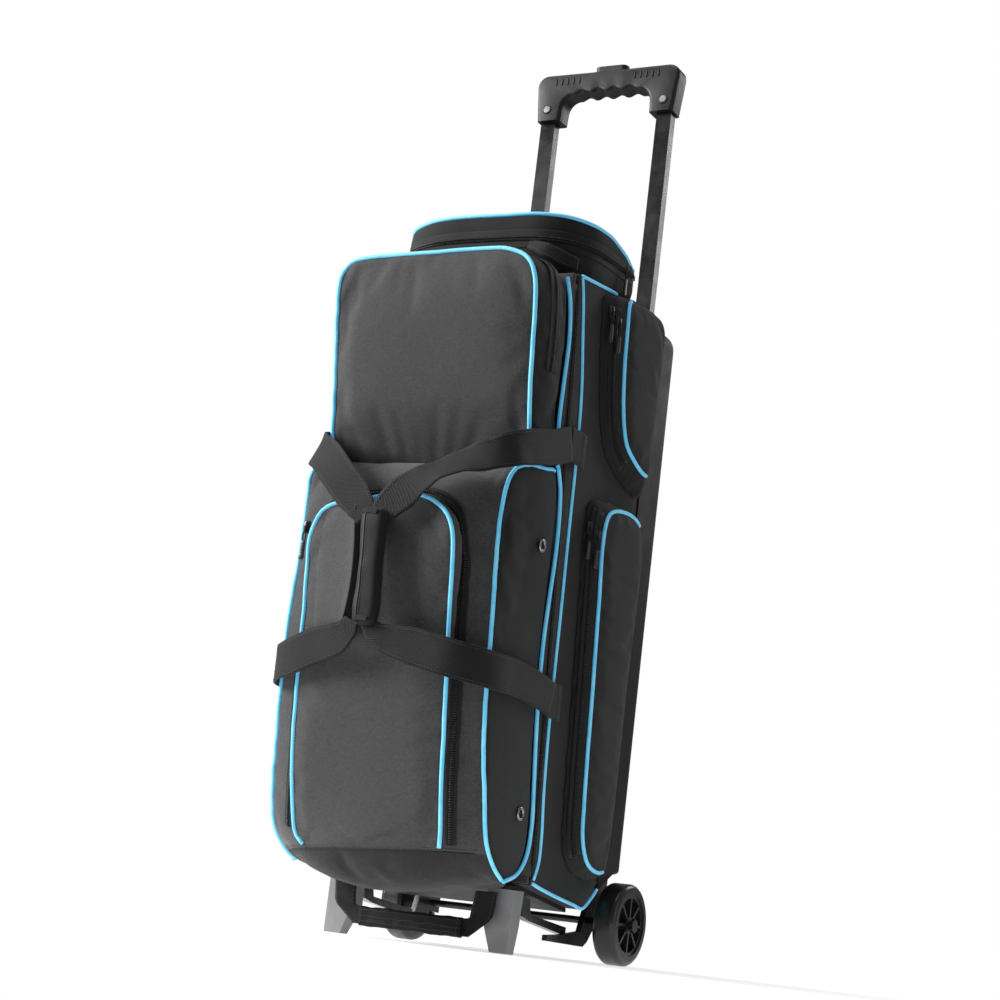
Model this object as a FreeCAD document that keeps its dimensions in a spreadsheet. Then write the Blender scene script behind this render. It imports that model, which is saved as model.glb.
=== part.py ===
import FreeCAD, Part

import math
import os

import Sketcher
from FreeCAD import Placement, Rotation, Vector

# A rolling bag for three bowling balls, in millimetres. +Z is up, -Y is the front with the door and
# its two pockets, +X is the wearer's right when looking at the front. The origin is on the ground,
# at the centre of the footprint. The handle is drawn pulled out, and every lid and door is shut.

NAMES = {
    # main bag
    "body_half": 125,        # half of the bag's width
    "wall": 4,               # foam and cloth wall
    "seam_low_y": -24,       # the door seam leans: its y at the bottom ...
    "seam_high_y": -74,      # ... and at the top
    "seam_low_z": 72,
    "seam_high_z": 719,
    "seam_gap": 0.6,         # free space between door and body
    "floor_rear_y": 100,
    "floor_rear_z": 55,
    "shell_front_y": 138,    # front edge of the moulded back shell
    "back_y": 183,           # rear face of the cloth body
    "rear_y": 208,           # rear face of the moulded back shell
    "top_front_z": 729,
    "top_z": 736,
    "shell_top_z": 733,
    "shell_wall": 3,
    "bay_height": 211,       # one ball and its share of the foam shelf
    "ball_radius": 108.5,
    "shelf": 8,
    # door module
    "lower_half": 126,       # shoe compartment
    "lower_top_z": 487,
    "upper_half": 121,       # accessory pocket
    "upper_low_z": 490,
    "upper_top_z": 721,
    "flap_half": 90,
    "flap_low_z": 100,
    "flap_top_z": 450,
    "strap_width": 38,
    "strap_thick": 2.4,
    "grip_front_y": -230,
    # top compartment
    "lid_half": 123,
    "lid_front_y": -80,
    "lid_side_y": -32,
    "lid_rear_y": 74,
    "lid_seam_z": 760,
    "lid_top_z": 790,
    # telescopic handle
    "tube_x": 79.5,
    "tube_y": 194,
    "tube_wide": 19.6,
    "tube_deep": 13,
    "tube_wall": 1.2,
    "tube_foot_z": 640,
    "tube_head_z": 1048,
    "sleeve_gap": 0.3,
    "sleeve_wall": 1.9,
    "sleeve_foot_z": 110,
    "grip_half": 97,
    "grip_shoulder": 14,
    "grip_low_z": 1018,
    "grip_top_z": 1079,
    "grip_front": 180,
    "grip_rear": 208,
    "bolt_z": 1032.5,
    "bolt_radius": 2.5,
    "button_rise": 8,
    # running gear
    "wheel_radius": 45,
    "wheel_y": 182,
    "wheel_in": 122,
    "wheel_wide": 28,
    "rim_radius": 34,
    "axle_radius": 4,
    "axle_fit": 0.08,
    "plate_x": 106,
    "plate_thick": 6,
    "foot_x": 91.4,
    "foot_top_z": 65,
    "carry_half": 62,        # the carry handle's sleeve
    "carry_z": 22,
    # trim
    "piping_radius": 2.4,
    "pull_long": 36,
}


class Size:
    """A number from the sheet, together with the expression that binds a property to it."""

    def __init__(self, text, number):
        self.text = text
        self.number = number

    def _join(self, sign, other, number):
        return Size("(%s %s %s)" % (words(self), sign, words(other)), number)

    def __add__(self, other):
        return self._join("+", other, self.number + plain(other))

    def __radd__(self, other):
        return self + other

    def __sub__(self, other):
        return self._join("-", other, self.number - plain(other))

    def __rsub__(self, other):
        return Size("(%s - %s)" % (words(other), words(self)), plain(other) - self.number)

    def __mul__(self, other):
        return self._join("*", other, self.number * plain(other))

    def __rmul__(self, other):
        return self * other

    def __truediv__(self, other):
        return self._join("/", other, self.number / plain(other))

    def __neg__(self):
        return Size("(0 - %s)" % words(self), -self.number)

    def __float__(self):
        return float(self.number)


def plain(item):
    return item.number if isinstance(item, Size) else float(item)


def words(item):
    return item.text if isinstance(item, Size) else "(%.6f)" % float(item)


class Sheet:
    """The driving dimensions, each read as an attribute."""

    def __init__(self, document, names):
        table = document.addObject("Spreadsheet::Sheet", "Sizes")
        for row, (name, number) in enumerate(names.items(), 1):
            table.set("A%d" % row, name)
            table.set("B%d" % row, str(number))
            table.setAlias("B%d" % row, name)
            setattr(self, name, Size("Sizes." + name, float(number)))
        document.recompute()


doc = FreeCAD.newDocument("rolling_bag")
D = Sheet(doc, NAMES)
NODES = []
RIGHT = 1
LEFT = -1
SIDES = (("left", LEFT), ("right", RIGHT))


# ---------------------------------------------------------------- helpers

def bind(thing, field, item):
    if isinstance(item, Size):
        thing.setExpression(field, item.text)


def origin_plane(body, role):
    return next(plane for plane in body.Origin.OriginFeatures if plane.Role == role)


def new_body(name):
    return doc.addObject("PartDesign::Body", name)


def keep(thing, label=None):
    """Lists an object as a node of the assembly."""
    thing.Label = label or thing.Label
    NODES.append(thing)
    return thing


def place_sketch(body, plane, offset):
    count = len(body.Group)
    sketch = body.newObject("Sketcher::SketchObject", "%s_sketch%d" % (body.Name, count))
    sketch.AttachmentSupport = [(origin_plane(body, plane), "")]
    sketch.MapMode = "FlatFace"
    sketch.AttachmentOffset = Placement(Vector(0, 0, plain(offset)), Rotation())
    bind(sketch, "AttachmentOffset.Base.z", offset)
    return sketch


def outline(body, plane, points, offset=0, arcs=None):
    """A closed outline. Every corner is held by two dimensions; arcs maps a side to its radius."""
    arcs = arcs or {}
    sketch = place_sketch(body, plane, offset)
    corners = [Vector(plain(a), plain(b), 0) for a, b in points]
    ends = []
    for index, corner in enumerate(corners):
        following = corners[(index + 1) % len(corners)]
        if index in arcs:
            half = (following - corner) * 0.5
            radius = abs(plain(arcs[index]))
            bulge = radius - math.sqrt(radius ** 2 - half.Length ** 2)
            out = Vector(half.y, -half.x, 0).normalize() * math.copysign(bulge, plain(arcs[index]))
            side = Part.Arc(corner, corner + half + out, following)
        else:
            side = Part.LineSegment(corner, following)
        number = sketch.addGeometry(side, False)
        starts_here = sketch.getPoint(number, 1).distanceToPoint(corner) < 1e-4
        ends.append((number, 1, 2) if starts_here else (number, 2, 1))
    for index, (number, first, last) in enumerate(ends):
        other = ends[(index + 1) % len(ends)]
        sketch.addConstraint(Sketcher.Constraint("Coincident", number, last, other[0], other[1]))
    for index, point in enumerate(points):
        number, first, last = ends[index]
        for kind, axis, item in (("DistanceX", -2, point[0]), ("DistanceY", -1, point[1])):
            if abs(plain(item)) < 1e-7:
                sketch.addConstraint(Sketcher.Constraint("PointOnObject", number, first, axis))
                continue
            rule = sketch.addConstraint(Sketcher.Constraint(kind, -1, 1, number, first, plain(item)))
            bind(sketch, "Constraints[%d]" % rule, item)
    for index, radius in arcs.items():
        size = abs(plain(radius))
        rule = sketch.addConstraint(Sketcher.Constraint("Radius", ends[index][0], size))
        bind(sketch, "Constraints[%d]" % rule, radius if plain(radius) > 0 else -1 * radius)
    return sketch


def disc(body, plane, centre, radius, offset=0):
    sketch = place_sketch(body, plane, offset)
    middle = Vector(plain(centre[0]), plain(centre[1]), 0)
    number = sketch.addGeometry(Part.Circle(middle, Vector(0, 0, 1), plain(radius)), False)
    for kind, axis, item in (("DistanceX", -2, centre[0]), ("DistanceY", -1, centre[1])):
        if abs(plain(item)) < 1e-7:
            sketch.addConstraint(Sketcher.Constraint("PointOnObject", number, 3, axis))
            continue
        rule = sketch.addConstraint(Sketcher.Constraint(kind, -1, 1, number, 3, plain(item)))
        bind(sketch, "Constraints[%d]" % rule, item)
    rule = sketch.addConstraint(Sketcher.Constraint("Radius", number, plain(radius)))
    bind(sketch, "Constraints[%d]" % rule, radius)
    return sketch


def pad(body, sketch, length, midplane=False, reverse=False):
    feature = body.newObject("PartDesign::Pad", "%s_pad%d" % (body.Name, len(body.Group)))
    feature.Profile = sketch
    feature.Length = plain(length)
    bind(feature, "Length", length)
    feature.Midplane = midplane
    feature.Reversed = reverse
    doc.recompute()
    return feature


def pocket(body, sketch, length, midplane=True, reverse=False):
    before = body.Shape.Volume
    feature = body.newObject("PartDesign::Pocket", "%s_cut%d" % (body.Name, len(body.Group)))
    feature.Profile = sketch
    feature.Length = plain(length)
    bind(feature, "Length", length)
    feature.Midplane = midplane
    feature.Reversed = reverse
    doc.recompute()
    if body.Shape.Volume > before - 1e-3:
        raise RuntimeError("%s cuts nothing" % feature.Name)
    return feature


def prism(name, plane, points, length, offset=0, arcs=None):
    """A body made of one outline, padded to both sides of its plane."""
    body = new_body(name)
    pad(body, outline(body, plane, points, offset, arcs), length, midplane=True)
    return body


def round_edges(body, radius, choose):
    doc.recompute()
    base = body.Tip
    chosen = ["Edge%d" % (n + 1) for n, edge in enumerate(base.Shape.Edges) if choose(edge)]
    fillet = body.newObject("PartDesign::Fillet", "%s_round%d" % (body.Name, len(body.Group)))
    fillet.Base = (base, chosen)
    fillet.Radius = plain(radius)
    bind(fillet, "Radius", radius)
    doc.recompute()
    return fillet


def runs_along(edge, axis):
    if edge.Curve.TypeId != "Part::GeomLine":
        return False
    return abs(edge.Curve.Direction.dot(axis)) > 0.999


def middle_of(edge):
    return edge.valueAt((edge.FirstParameter + edge.LastParameter) / 2)


def group(name, members):
    """Separate solids that share one node."""
    bundle = doc.addObject("Part::Compound", name)
    bundle.Links = members
    return keep(bundle, name)


def solid_feature(name, shape):
    feature = doc.addObject("Part::Feature", name)
    feature.Shape = shape
    return feature


def seam_y(z):
    """The leaning plane between the door and the body."""
    rise = (z - D.seam_low_z) / (D.seam_high_z - D.seam_low_z)
    return D.seam_low_y + (D.seam_high_y - D.seam_low_y) * rise


X_AXIS = Vector(1, 0, 0)
Y_AXIS = Vector(0, 1, 0)
Z_AXIS = Vector(0, 0, 1)


def smooth_path(points, bend, closed=False):
    """Straight runs joined by tangent arcs no larger than the runs leave room for."""
    corners = [Vector(*point) for point in points]
    count = len(corners)
    edges = []
    inner = range(count) if closed else range(1, count - 1)
    cuts = {}
    for index in inner:
        here = corners[index]
        back = corners[index - 1] - here
        ahead = corners[(index + 1) % count] - here
        turn = math.pi - back.getAngle(ahead)
        room = 0.45 * min(back.Length, ahead.Length)
        reach = min(bend * math.tan(turn / 2), room)
        back.normalize()
        ahead.normalize()
        start = here + back * reach
        stop = here + ahead * reach
        radius = reach / math.tan(turn / 2)
        inward = (back + ahead).normalize()
        centre_gap = math.hypot(radius, reach)
        cuts[index] = (start, here + inward * (centre_gap - radius), stop)
    spans = range(count) if closed else range(count - 1)
    for index in spans:
        following = (index + 1) % count
        leave = cuts[index][2] if index in cuts else corners[index]
        arrive = cuts[following][0] if following in cuts else corners[following]
        edges.append(Part.LineSegment(leave, arrive).toShape())
        if following in cuts:
            edges.append(Part.Arc(*cuts[following]).toShape())
    return Part.Wire(edges)


def tube(name, points, radius=None, bend=30, closed=False):
    """A round cord of piping along straight runs and tangent arcs."""
    radius = plain(D.piping_radius if radius is None else radius)
    path = smooth_path(points, bend, closed)
    start = path.Edges[0].Vertexes[0].Point
    heading = path.Edges[0].tangentAt(path.Edges[0].FirstParameter)
    ring = Part.Wire([Part.Circle(start, heading, radius).toShape()])
    return solid_feature(name, path.makePipeShell([ring], True, False))


def webbing(name, rungs, width, thick):
    """A flat strap through rungs, each a centre, an across direction and an outward direction."""
    rings = []
    for centre, across, outward in rungs:
        side = Vector(*across).normalize() * (width / 2)
        lift = Vector(*outward).normalize() * thick
        low = Vector(*centre) - side
        high = Vector(*centre) + side
        rings.append([low, high, high + lift, low + lift])
    faces = []
    for first, second in zip(rings, rings[1:]):
        for corner in range(4):
            following = (corner + 1) % 4
            faces.append([first[corner], first[following], second[following]])
            faces.append([first[corner], second[following], second[corner]])
    for end in (rings[0], rings[-1]):
        faces.append([end[0], end[1], end[2]])
        faces.append([end[0], end[2], end[3]])
    sheets = [Part.Face(Part.makePolygon(face + [face[0]])) for face in faces]
    shell = Part.makeShell(sheets)
    solid = Part.makeSolid(shell)
    if solid.Volume < 0:
        solid.reverse()
    return solid_feature(name, solid)


def mirrored(points, side):
    return [(side * x, y, z) for x, y, z in points]


# ---------------------------------------------------------------- the main bag (root)

def side_line(z_low, z_high, ahead):
    """Two points of the leaning seam, moved ahead of it along Y."""
    return [(seam_y(z_low) + ahead, z_low), (seam_y(z_high) + ahead, z_high)]


def make_body_shell():
    """The cloth and foam body, open at the front, stepped in where the back shell wraps it."""
    low, high = side_line(D.seam_low_z, D.seam_high_z, 0)
    step = D.shell_wall + 1.5
    outside = [
        low,
        (D.floor_rear_y, D.floor_rear_z),
        (D.shell_front_y - 0.5, D.floor_rear_z + 20.7),
        (D.shell_front_y - 0.5, D.floor_rear_z + 20.7 + step),
        (D.back_y - 5, D.floor_rear_z + 43 + step),
        (D.back_y, D.floor_rear_z + 45.7 + step),
        (D.back_y, D.shell_top_z - 11),
        (D.shell_front_y - 0.5, D.shell_top_z - 11),
        (D.shell_front_y - 0.5, D.top_z),
        (D.shell_front_y - 70, D.top_z),
        (34, D.top_front_z),
        high,
    ]
    body = prism("body_shell", "YZ_Plane", outside, D.body_half * 2)
    inside = [
        (-150, D.seam_low_z + 4),
        (D.seam_low_y, D.seam_low_z + 4),
        (D.floor_rear_y - 2, D.floor_rear_z + D.wall + 0.3),
        (D.shell_front_y - 4, D.floor_rear_z + 22 + D.wall),
        (D.shell_front_y - 4, D.floor_rear_z + 29 + D.wall),
        (D.back_y - D.wall, D.floor_rear_z + 52 + D.wall),
        (D.back_y - D.wall, D.shell_top_z - 15),
        (D.shell_front_y - 4, D.shell_top_z - 15),
        (D.shell_front_y - 4, D.top_z - D.wall),
        (D.shell_front_y - 70, D.top_z - D.wall),
        (34, D.top_front_z - D.wall),
        (-60, D.seam_high_z - D.wall),
        (-150, D.seam_high_z - D.wall),
    ]
    pocket(body, outline(body, "YZ_Plane", inside), (D.body_half - D.wall - 4) * 2)
    for side in (LEFT, RIGHT):
        inner = side * (D.body_half - 3.5)
        outer = side * (D.body_half + 5)
        step_cut = [
            (inner, D.shell_front_y - 0.5),
            (outer, D.shell_front_y - 0.5),
            (outer, D.back_y + 5),
            (inner, D.back_y + 5),
        ]
        pocket(body, outline(body, "XY_Plane", step_cut, D.top_z / 2), D.top_z * 2)
    return keep(body)


def make_back_shell():
    """The moulded shell that wraps the rear of the body and covers the handle tubes."""
    front = D.shell_front_y
    outside = [
        (front, D.floor_rear_z + 21),
        (D.back_y - 5, D.floor_rear_z + 43),
        (D.rear_y, D.floor_rear_z + 47),
        (D.rear_y, D.shell_top_z),
        (front, D.shell_top_z),
    ]
    body = prism("back_shell", "YZ_Plane", outside, D.body_half * 2)
    inside = [
        (front - 30, D.floor_rear_z + 21 + D.shell_wall - 16.5),
        (D.back_y - 5, D.floor_rear_z + 43 + D.shell_wall),
        (D.rear_y - D.shell_wall, D.floor_rear_z + 47 + D.shell_wall),
        (D.rear_y - D.shell_wall, D.shell_top_z - D.shell_wall),
        (front - 30, D.shell_top_z - D.shell_wall),
    ]
    pocket(body, outline(body, "YZ_Plane", inside), (D.body_half - D.shell_wall) * 2)

    def corner(y_face):
        return lambda edge: runs_along(edge, Z_AXIS) and abs(middle_of(edge).y - plain(y_face)) < 0.1

    round_edges(body, 21, corner(D.rear_y - D.shell_wall))
    round_edges(body, 24, corner(D.rear_y))
    wide = D.tube_wide / 2 + D.sleeve_gap + D.sleeve_wall + 0.2
    deep = D.tube_deep / 2 + D.sleeve_gap + D.sleeve_wall + 0.2
    for side in (LEFT, RIGHT):
        hole = rectangle(side * D.tube_x, D.tube_y, wide, deep)
        pocket(body, outline(body, "XY_Plane", hole, D.shell_top_z), 20)
    return keep(body)


def rectangle(x, y, half_x, half_y):
    return [
        (x - half_x, y - half_y),
        (x + half_x, y - half_y),
        (x + half_x, y + half_y),
        (x - half_x, y + half_y),
    ]


def square_tube(name, side, half_x, half_y, wall, low, high):
    """An upright rectangular tube on the line of one handle leg."""
    body = new_body(name)
    outer = rectangle(side * D.tube_x, D.tube_y, half_x, half_y)
    pad(body, outline(body, "XY_Plane", outer, low), high - low)
    bore = rectangle(side * D.tube_x, D.tube_y, half_x - wall, half_y - wall)
    pocket(body, outline(body, "XY_Plane", bore, (low + high) / 2), (high - low) * 2)
    return body


def make_sleeves():
    """The fixed outer tubes and the collars where they leave the shell."""
    half_x = D.tube_wide / 2 + D.sleeve_gap
    half_y = D.tube_deep / 2 + D.sleeve_gap
    wall = D.sleeve_wall
    collars = []
    for word, side in SIDES:
        sleeve = square_tube("outer_tube_" + word, side, half_x + wall, half_y + wall, wall,
                             D.sleeve_foot_z, D.shell_top_z)
        keep(sleeve)
        collar = square_tube("collar_" + word, side, half_x + 6, half_y + 5, 5,
                             D.shell_top_z + 0.2, D.shell_top_z + 10)
        collars.append(collar)
    group("tube_collars", collars)


def make_base():
    """The floor tray, the two front feet, the skid rails and the axle brackets."""
    tray = [
        (-38, 65.3),
        (-38, 69.5),
        (-9, 69.5),
        (D.floor_rear_y, D.floor_rear_z - 0.4),
        (D.floor_rear_y, D.floor_rear_z - 4.6),
        (-9, 65.3),
    ]
    keep(prism("base_tray", "YZ_Plane", tray, 216))
    for word, side in SIDES:
        keep(make_foot(word, side))
    keep_rails = []
    for word, side in SIDES:
        rail = [(4, 61.5), (25, 58.6), (30, 43), (118, 34.6), (118, 25.5), (28, 36), (12, 40)]
        piece = prism("rail_" + word, "YZ_Plane", rail, 9, side * (D.plate_x - 8.5))
        keep_rails.append(piece)
    group("base_rails", keep_rails)
    for word, side in SIDES:
        keep(make_bracket(word, side))


def make_foot(word, side):
    """A tapered wedge: narrow on the ground, wide and deep under the tray."""
    body = new_body("front_foot_" + word)
    levels = (
        (0.0, D.foot_x, D.foot_x + 20, -34, -18),
        (30.0, D.foot_x - 11, D.foot_x + 20, -34, -12),
        (D.foot_top_z, D.foot_x - 9, D.foot_x + 20, -34, -9.5),
    )
    sections = []
    for z, inner, outer, front, rear in levels:
        corners = [(side * inner, front), (side * outer, front), (side * outer, rear), (side * inner, rear)]
        sections.append(outline(body, "XY_Plane", corners, z))
    loft = body.newObject("PartDesign::AdditiveLoft", body.Name + "_loft")
    loft.Profile = sections[0]
    loft.Sections = sections[1:]
    loft.Ruled = True
    doc.recompute()
    return body


def make_bracket(word, side):
    """The plate that carries the axle, with its skid foot below and its riser to the back shell."""
    plate = [
        (60, 18),
        (150, 16),
        (160, 22),
        (172, 36),
        (196, 34),
        (197, 99.8),
        (185, 98.3),
        (162, 86),
        (152, 62),
        (140, 32),
        (92, 26),
        (60, 24),
    ]
    body = prism("axle_bracket_" + word, "YZ_Plane", plate, D.plate_thick, side * D.plate_x)
    hole = disc(body, "YZ_Plane", (D.wheel_y, D.wheel_radius), D.axle_radius + D.axle_fit)
    pocket(body, hole, D.body_half * 4)
    return body


def make_axle():
    rod = doc.addObject("Part::Cylinder", "wheel_axle")
    rod.Radius = plain(D.axle_radius)
    bind(rod, "Radius", D.axle_radius)
    reach = D.wheel_in + D.wheel_wide + 0.4
    rod.Height = plain(reach * 2)
    bind(rod, "Height", reach * 2)
    rod.Placement = Placement(Vector(-plain(reach), plain(D.wheel_y), plain(D.wheel_radius)),
                              Rotation(Y_AXIS, 90))
    keep(rod, "wheel_axle")
    nuts = []
    for word, side in SIDES:
        nut = doc.addObject("Part::Prism", "nut_" + word)
        nut.Polygon = 6
        nut.Circumradius = 8
        nut.Height = 4.4
        start = plain(reach) + 0.1 if side == RIGHT else -plain(reach) - 0.1 - 4.4
        nut.Placement = Placement(Vector(start, plain(D.wheel_y), plain(D.wheel_radius)),
                                  Rotation(Y_AXIS, 90))
        nuts.append(nut)
    group("axle_nuts", nuts)


def make_ball_bays():
    """Two foam shelves with a round seat, and a cradle under the lowest ball."""
    shelves = []
    ball_y = 70
    for index in (1, 2):
        low = D.seam_low_z - 8 + D.bay_height * index + D.shelf * (index - 1)
        front = seam_y(low) + 8
        shelf = new_body("shelf_%d" % index)
        plate = [
            (-(D.body_half - 8.4), front),
            (D.body_half - 8.4, front),
            (D.body_half - 8.4, D.back_y - D.wall - 0.4),
            (-(D.body_half - 8.4), D.back_y - D.wall - 0.4),
        ]
        pad(shelf, outline(shelf, "XY_Plane", plate, low), D.shelf)
        seat = disc(shelf, "XY_Plane", (0, ball_y), 58, low)
        pocket(shelf, seat, D.shelf * 4)
        shelves.append(shelf)
    group("ball_shelves", shelves)
    block = [
        (2, 75),
        (D.floor_rear_y - 2, 60.2),
        (130, 79.4),
        (130, 84),
        (2, 84),
    ]
    cradle = prism("ball_cradle_block", "YZ_Plane", block, 190)
    ball = doc.addObject("Part::Sphere", "ball_space")
    ball.Radius = plain(D.ball_radius)
    bind(ball, "Radius", D.ball_radius)
    ball.Placement = Placement(Vector(0, ball_y, plain(D.ball_radius) + 68.5), Rotation())
    seat = doc.addObject("Part::Cut", "ball_cradle")
    seat.Base = cradle
    seat.Tool = ball
    doc.recompute()
    keep(seat, "ball_cradle")


def loft_pocket(name, side, base, face, out):
    """A stitched-on side pocket: its outline on the body and the smaller outline of its face."""
    body = new_body(name)
    inner = outline(body, "YZ_Plane", base, side * (D.body_half + 0.3))
    outer = outline(body, "YZ_Plane", face, side * (D.body_half + out))
    loft = body.newObject("PartDesign::AdditiveLoft", name + "_loft")
    loft.Profile = inner
    loft.Sections = [outer]
    loft.Ruled = True
    doc.recompute()
    return keep(body)


UPPER_FACE = [(30, 719), (30, 667), (46, 588), (62, 560), (104, 545), (124, 540), (128, 560), (128, 728)]
LOWER_FACE = [(56, 486), (26, 462), (38, 341), (54, 134), (72, 104), (112, 96), (126, 110), (126, 480)]


def make_side_pockets():
    rear = D.shell_front_y - 1
    upper_base = [
        (-14, 714),
        (-8, 667),
        (10, 572),
        (34, 540),
        (90, 520),
        (rear, 517),
        (rear, 560),
        (rear, 733),
    ]
    lower_base = [
        (22, 497),
        (2, 470),
        (12, 341),
        (34, 124),
        (48, 96),
        (112, 84),
        (rear, 98),
        (rear, 494),
    ]
    for word, side in SIDES:
        loft_pocket("upper_side_pocket_" + word, side, upper_base, UPPER_FACE, 15)
        loft_pocket("lower_side_pocket_" + word, side, lower_base, LOWER_FACE, 15)
    cords = []
    lift = plain(D.body_half) + 15.3 + plain(D.piping_radius)
    for word, side in SIDES:
        for name, face, bend in (("upper", UPPER_FACE, 14), ("lower", LOWER_FACE, 22)):
            route = [(side * lift, y, z) for y, z in face[:-2]]
            cords.append(tube("%s_pocket_cord_%s" % (name, word), route, bend=bend))
    group("side_pocket_piping", cords)


def strip(name, side, ahead, depth, low, high):
    """A thin band on the bag's side that follows the leaning seam."""
    points = [
        (seam_y(low) + ahead, low),
        (seam_y(low) + ahead + depth, low),
        (seam_y(high) + ahead + depth, high),
        (seam_y(high) + ahead, high),
    ]
    return prism(name, "YZ_Plane", points, 1.4, side * (D.body_half + 1.1))


# the strap tabs on the hinge side stand back, so that the door's strap ends swing past them
HINGE_ROOM = 11


def make_body_trim():
    tapes = []
    cords = []
    for word, side in SIDES:
        tapes.append(strip("body_tape_" + word, side, D.seam_gap, 13, D.seam_low_z + 16,
                           D.seam_high_z - 18))
        out = plain(D.body_half) + 0.4 + plain(D.piping_radius)
        gap = 17.5
        low = 100
        high = 700
        route = [
            (side * out, plain(seam_y(low)) + gap, low),
            (side * out, plain(seam_y(400)) + gap + 3, 400),
            (side * out, plain(seam_y(high)) + gap, high),
        ]
        cords.append(tube("body_cord_" + word, route, bend=400))
    group("body_zipper_tape", tapes)
    group("body_piping", cords)
    tabs = []
    for word, side in SIDES:
        for name, level, reach in (("upper", 536, 40), ("lower", 265, 26)):
            near = plain(seam_y(level)) + (plain(D.seam_gap) if side == RIGHT else HINGE_ROOM)
            rungs = [
                ((side * (plain(D.body_half) + 6.2), near, level), (0, 0, 1), (side, 0, 0)),
                ((side * (plain(D.body_half) + 6.2), near + reach, level), (0, 0, 1), (side, 0, 0)),
            ]
            tabs.append(webbing("%s_tab_%s" % (name, word), rungs, plain(D.strap_width),
                                plain(D.strap_thick)))
    group("strap_tabs", tabs)


# ---------------------------------------------------------------- the door and what it carries

def make_door_panel():
    gap = D.seam_gap
    low, high = D.seam_low_z + 1, D.seam_high_z - 1
    points = [
        (seam_y(low) - gap, low),
        (seam_y(high) - gap, high),
        (seam_y(high) - gap - 6, high),
        (seam_y(low) - gap - 6, low),
    ]
    keep(prism("door_panel", "YZ_Plane", points, (D.body_half - 1) * 2))
    tapes = []
    for word, side in SIDES:
        tapes.append(strip("door_tape_" + word, side, -1 * D.seam_gap - 5.8, 5.8, D.seam_low_z + 16,
                           D.seam_high_z - 18))
    group("door_zipper_tape", tapes)


LOWER_FRONT = [(-158, 96), (-171, 200), (-181, 300), (-188, 400), (-186, 440)]


def make_lower_pocket():
    """The shoe compartment: a hollow cloth box with an arched mouth behind the flap."""
    back_low = seam_y(D.seam_low_z + 1) - D.seam_gap - 6.4
    back_high = seam_y(D.lower_top_z) - D.seam_gap - 6.4
    outside = [
        (back_low, D.seam_low_z + 1),
        (-40, D.seam_low_z + 1),
        (-60, 65),
        (-100, 52),
        (-142, 56),
    ] + LOWER_FRONT + [
        (-168, 478),
        (-125, D.lower_top_z),
        (back_high, D.lower_top_z),
    ]
    body = prism("lower_pocket", "YZ_Plane", outside, D.lower_half * 2)

    def front_corner(edge):
        spot = middle_of(edge)
        flat = abs(edge.tangentAt(edge.FirstParameter).x) < 0.01
        return flat and spot.y < -150 and abs(spot.x) > plain(D.lower_half) - 0.1

    round_edges(body, 26, front_corner)
    wall = D.wall
    inside = [
        (back_low - wall, D.seam_low_z + 8),
        (-60, 72),
        (-100, 59),
        (-138, 63),
        (-150, 100),
        (-163, 200),
        (-173, 300),
        (-180, 400),
        (-178, 440),
        (-160, 470),
        (-125, D.lower_top_z - wall - 2),
        (back_high - wall, D.lower_top_z - wall - 2),
    ]
    pocket(body, outline(body, "YZ_Plane", inside), (D.lower_half - 14) * 2)
    mouth_half = D.flap_half - 12
    mouth = [
        (-mouth_half, D.flap_low_z + 20),
        (mouth_half, D.flap_low_z + 20),
        (mouth_half, D.flap_top_z - 60),
        (mouth_half - 38, D.flap_top_z - 22),
        (38 - mouth_half, D.flap_top_z - 22),
        (-mouth_half, D.flap_top_z - 60),
    ]
    pocket(body, outline(body, "XZ_Plane", mouth, 145), 60, midplane=False, reverse=True)
    return keep(body)


def arch(half, low, top, shoulder):
    return [
        (-half, low),
        (half, low),
        (half, top - shoulder),
        (half - shoulder, top),
        (shoulder - half, top),
        (-half, top - shoulder),
    ]


def front_slab(near, far):
    """The space between two sheets parallel to the shoe compartment's front."""
    line = [(-157.4, 91)] + LOWER_FRONT + [(-185, 460)]
    back = [(y - near, z) for y, z in line]
    front = [(y - far, z) for y, z in reversed(line)]
    return back + front


def make_arch_flap():
    """The zipped flap over the shoe compartment's mouth and the zipper tape that frames it."""
    slab = prism("flap_slab", "YZ_Plane", front_slab(0.5, 15), D.flap_half * 4)
    shape = prism("flap_shape", "XZ_Plane", arch(D.flap_half, D.flap_low_z, D.flap_top_z, 34), 200, 170)
    flap = doc.addObject("Part::Common", "arch_flap")
    flap.Base = slab
    flap.Tool = shape
    keep(flap, "arch_flap")
    doc.recompute()
    thin = prism("tape_slab", "YZ_Plane", front_slab(0.5, 2), D.flap_half * 4)
    ring = prism("tape_ring", "XZ_Plane", arch(D.flap_half + 9, D.flap_low_z, D.flap_top_z + 9, 40),
                 200, 170)
    hole = arch(D.flap_half + 0.6, D.flap_low_z - 30, D.flap_top_z + 0.6, 35)
    pocket(ring, outline(ring, "XZ_Plane", hole, 170), 300)
    tape = doc.addObject("Part::Common", "arch_zipper_tape")
    tape.Base = thin
    tape.Tool = ring
    return tape


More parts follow.
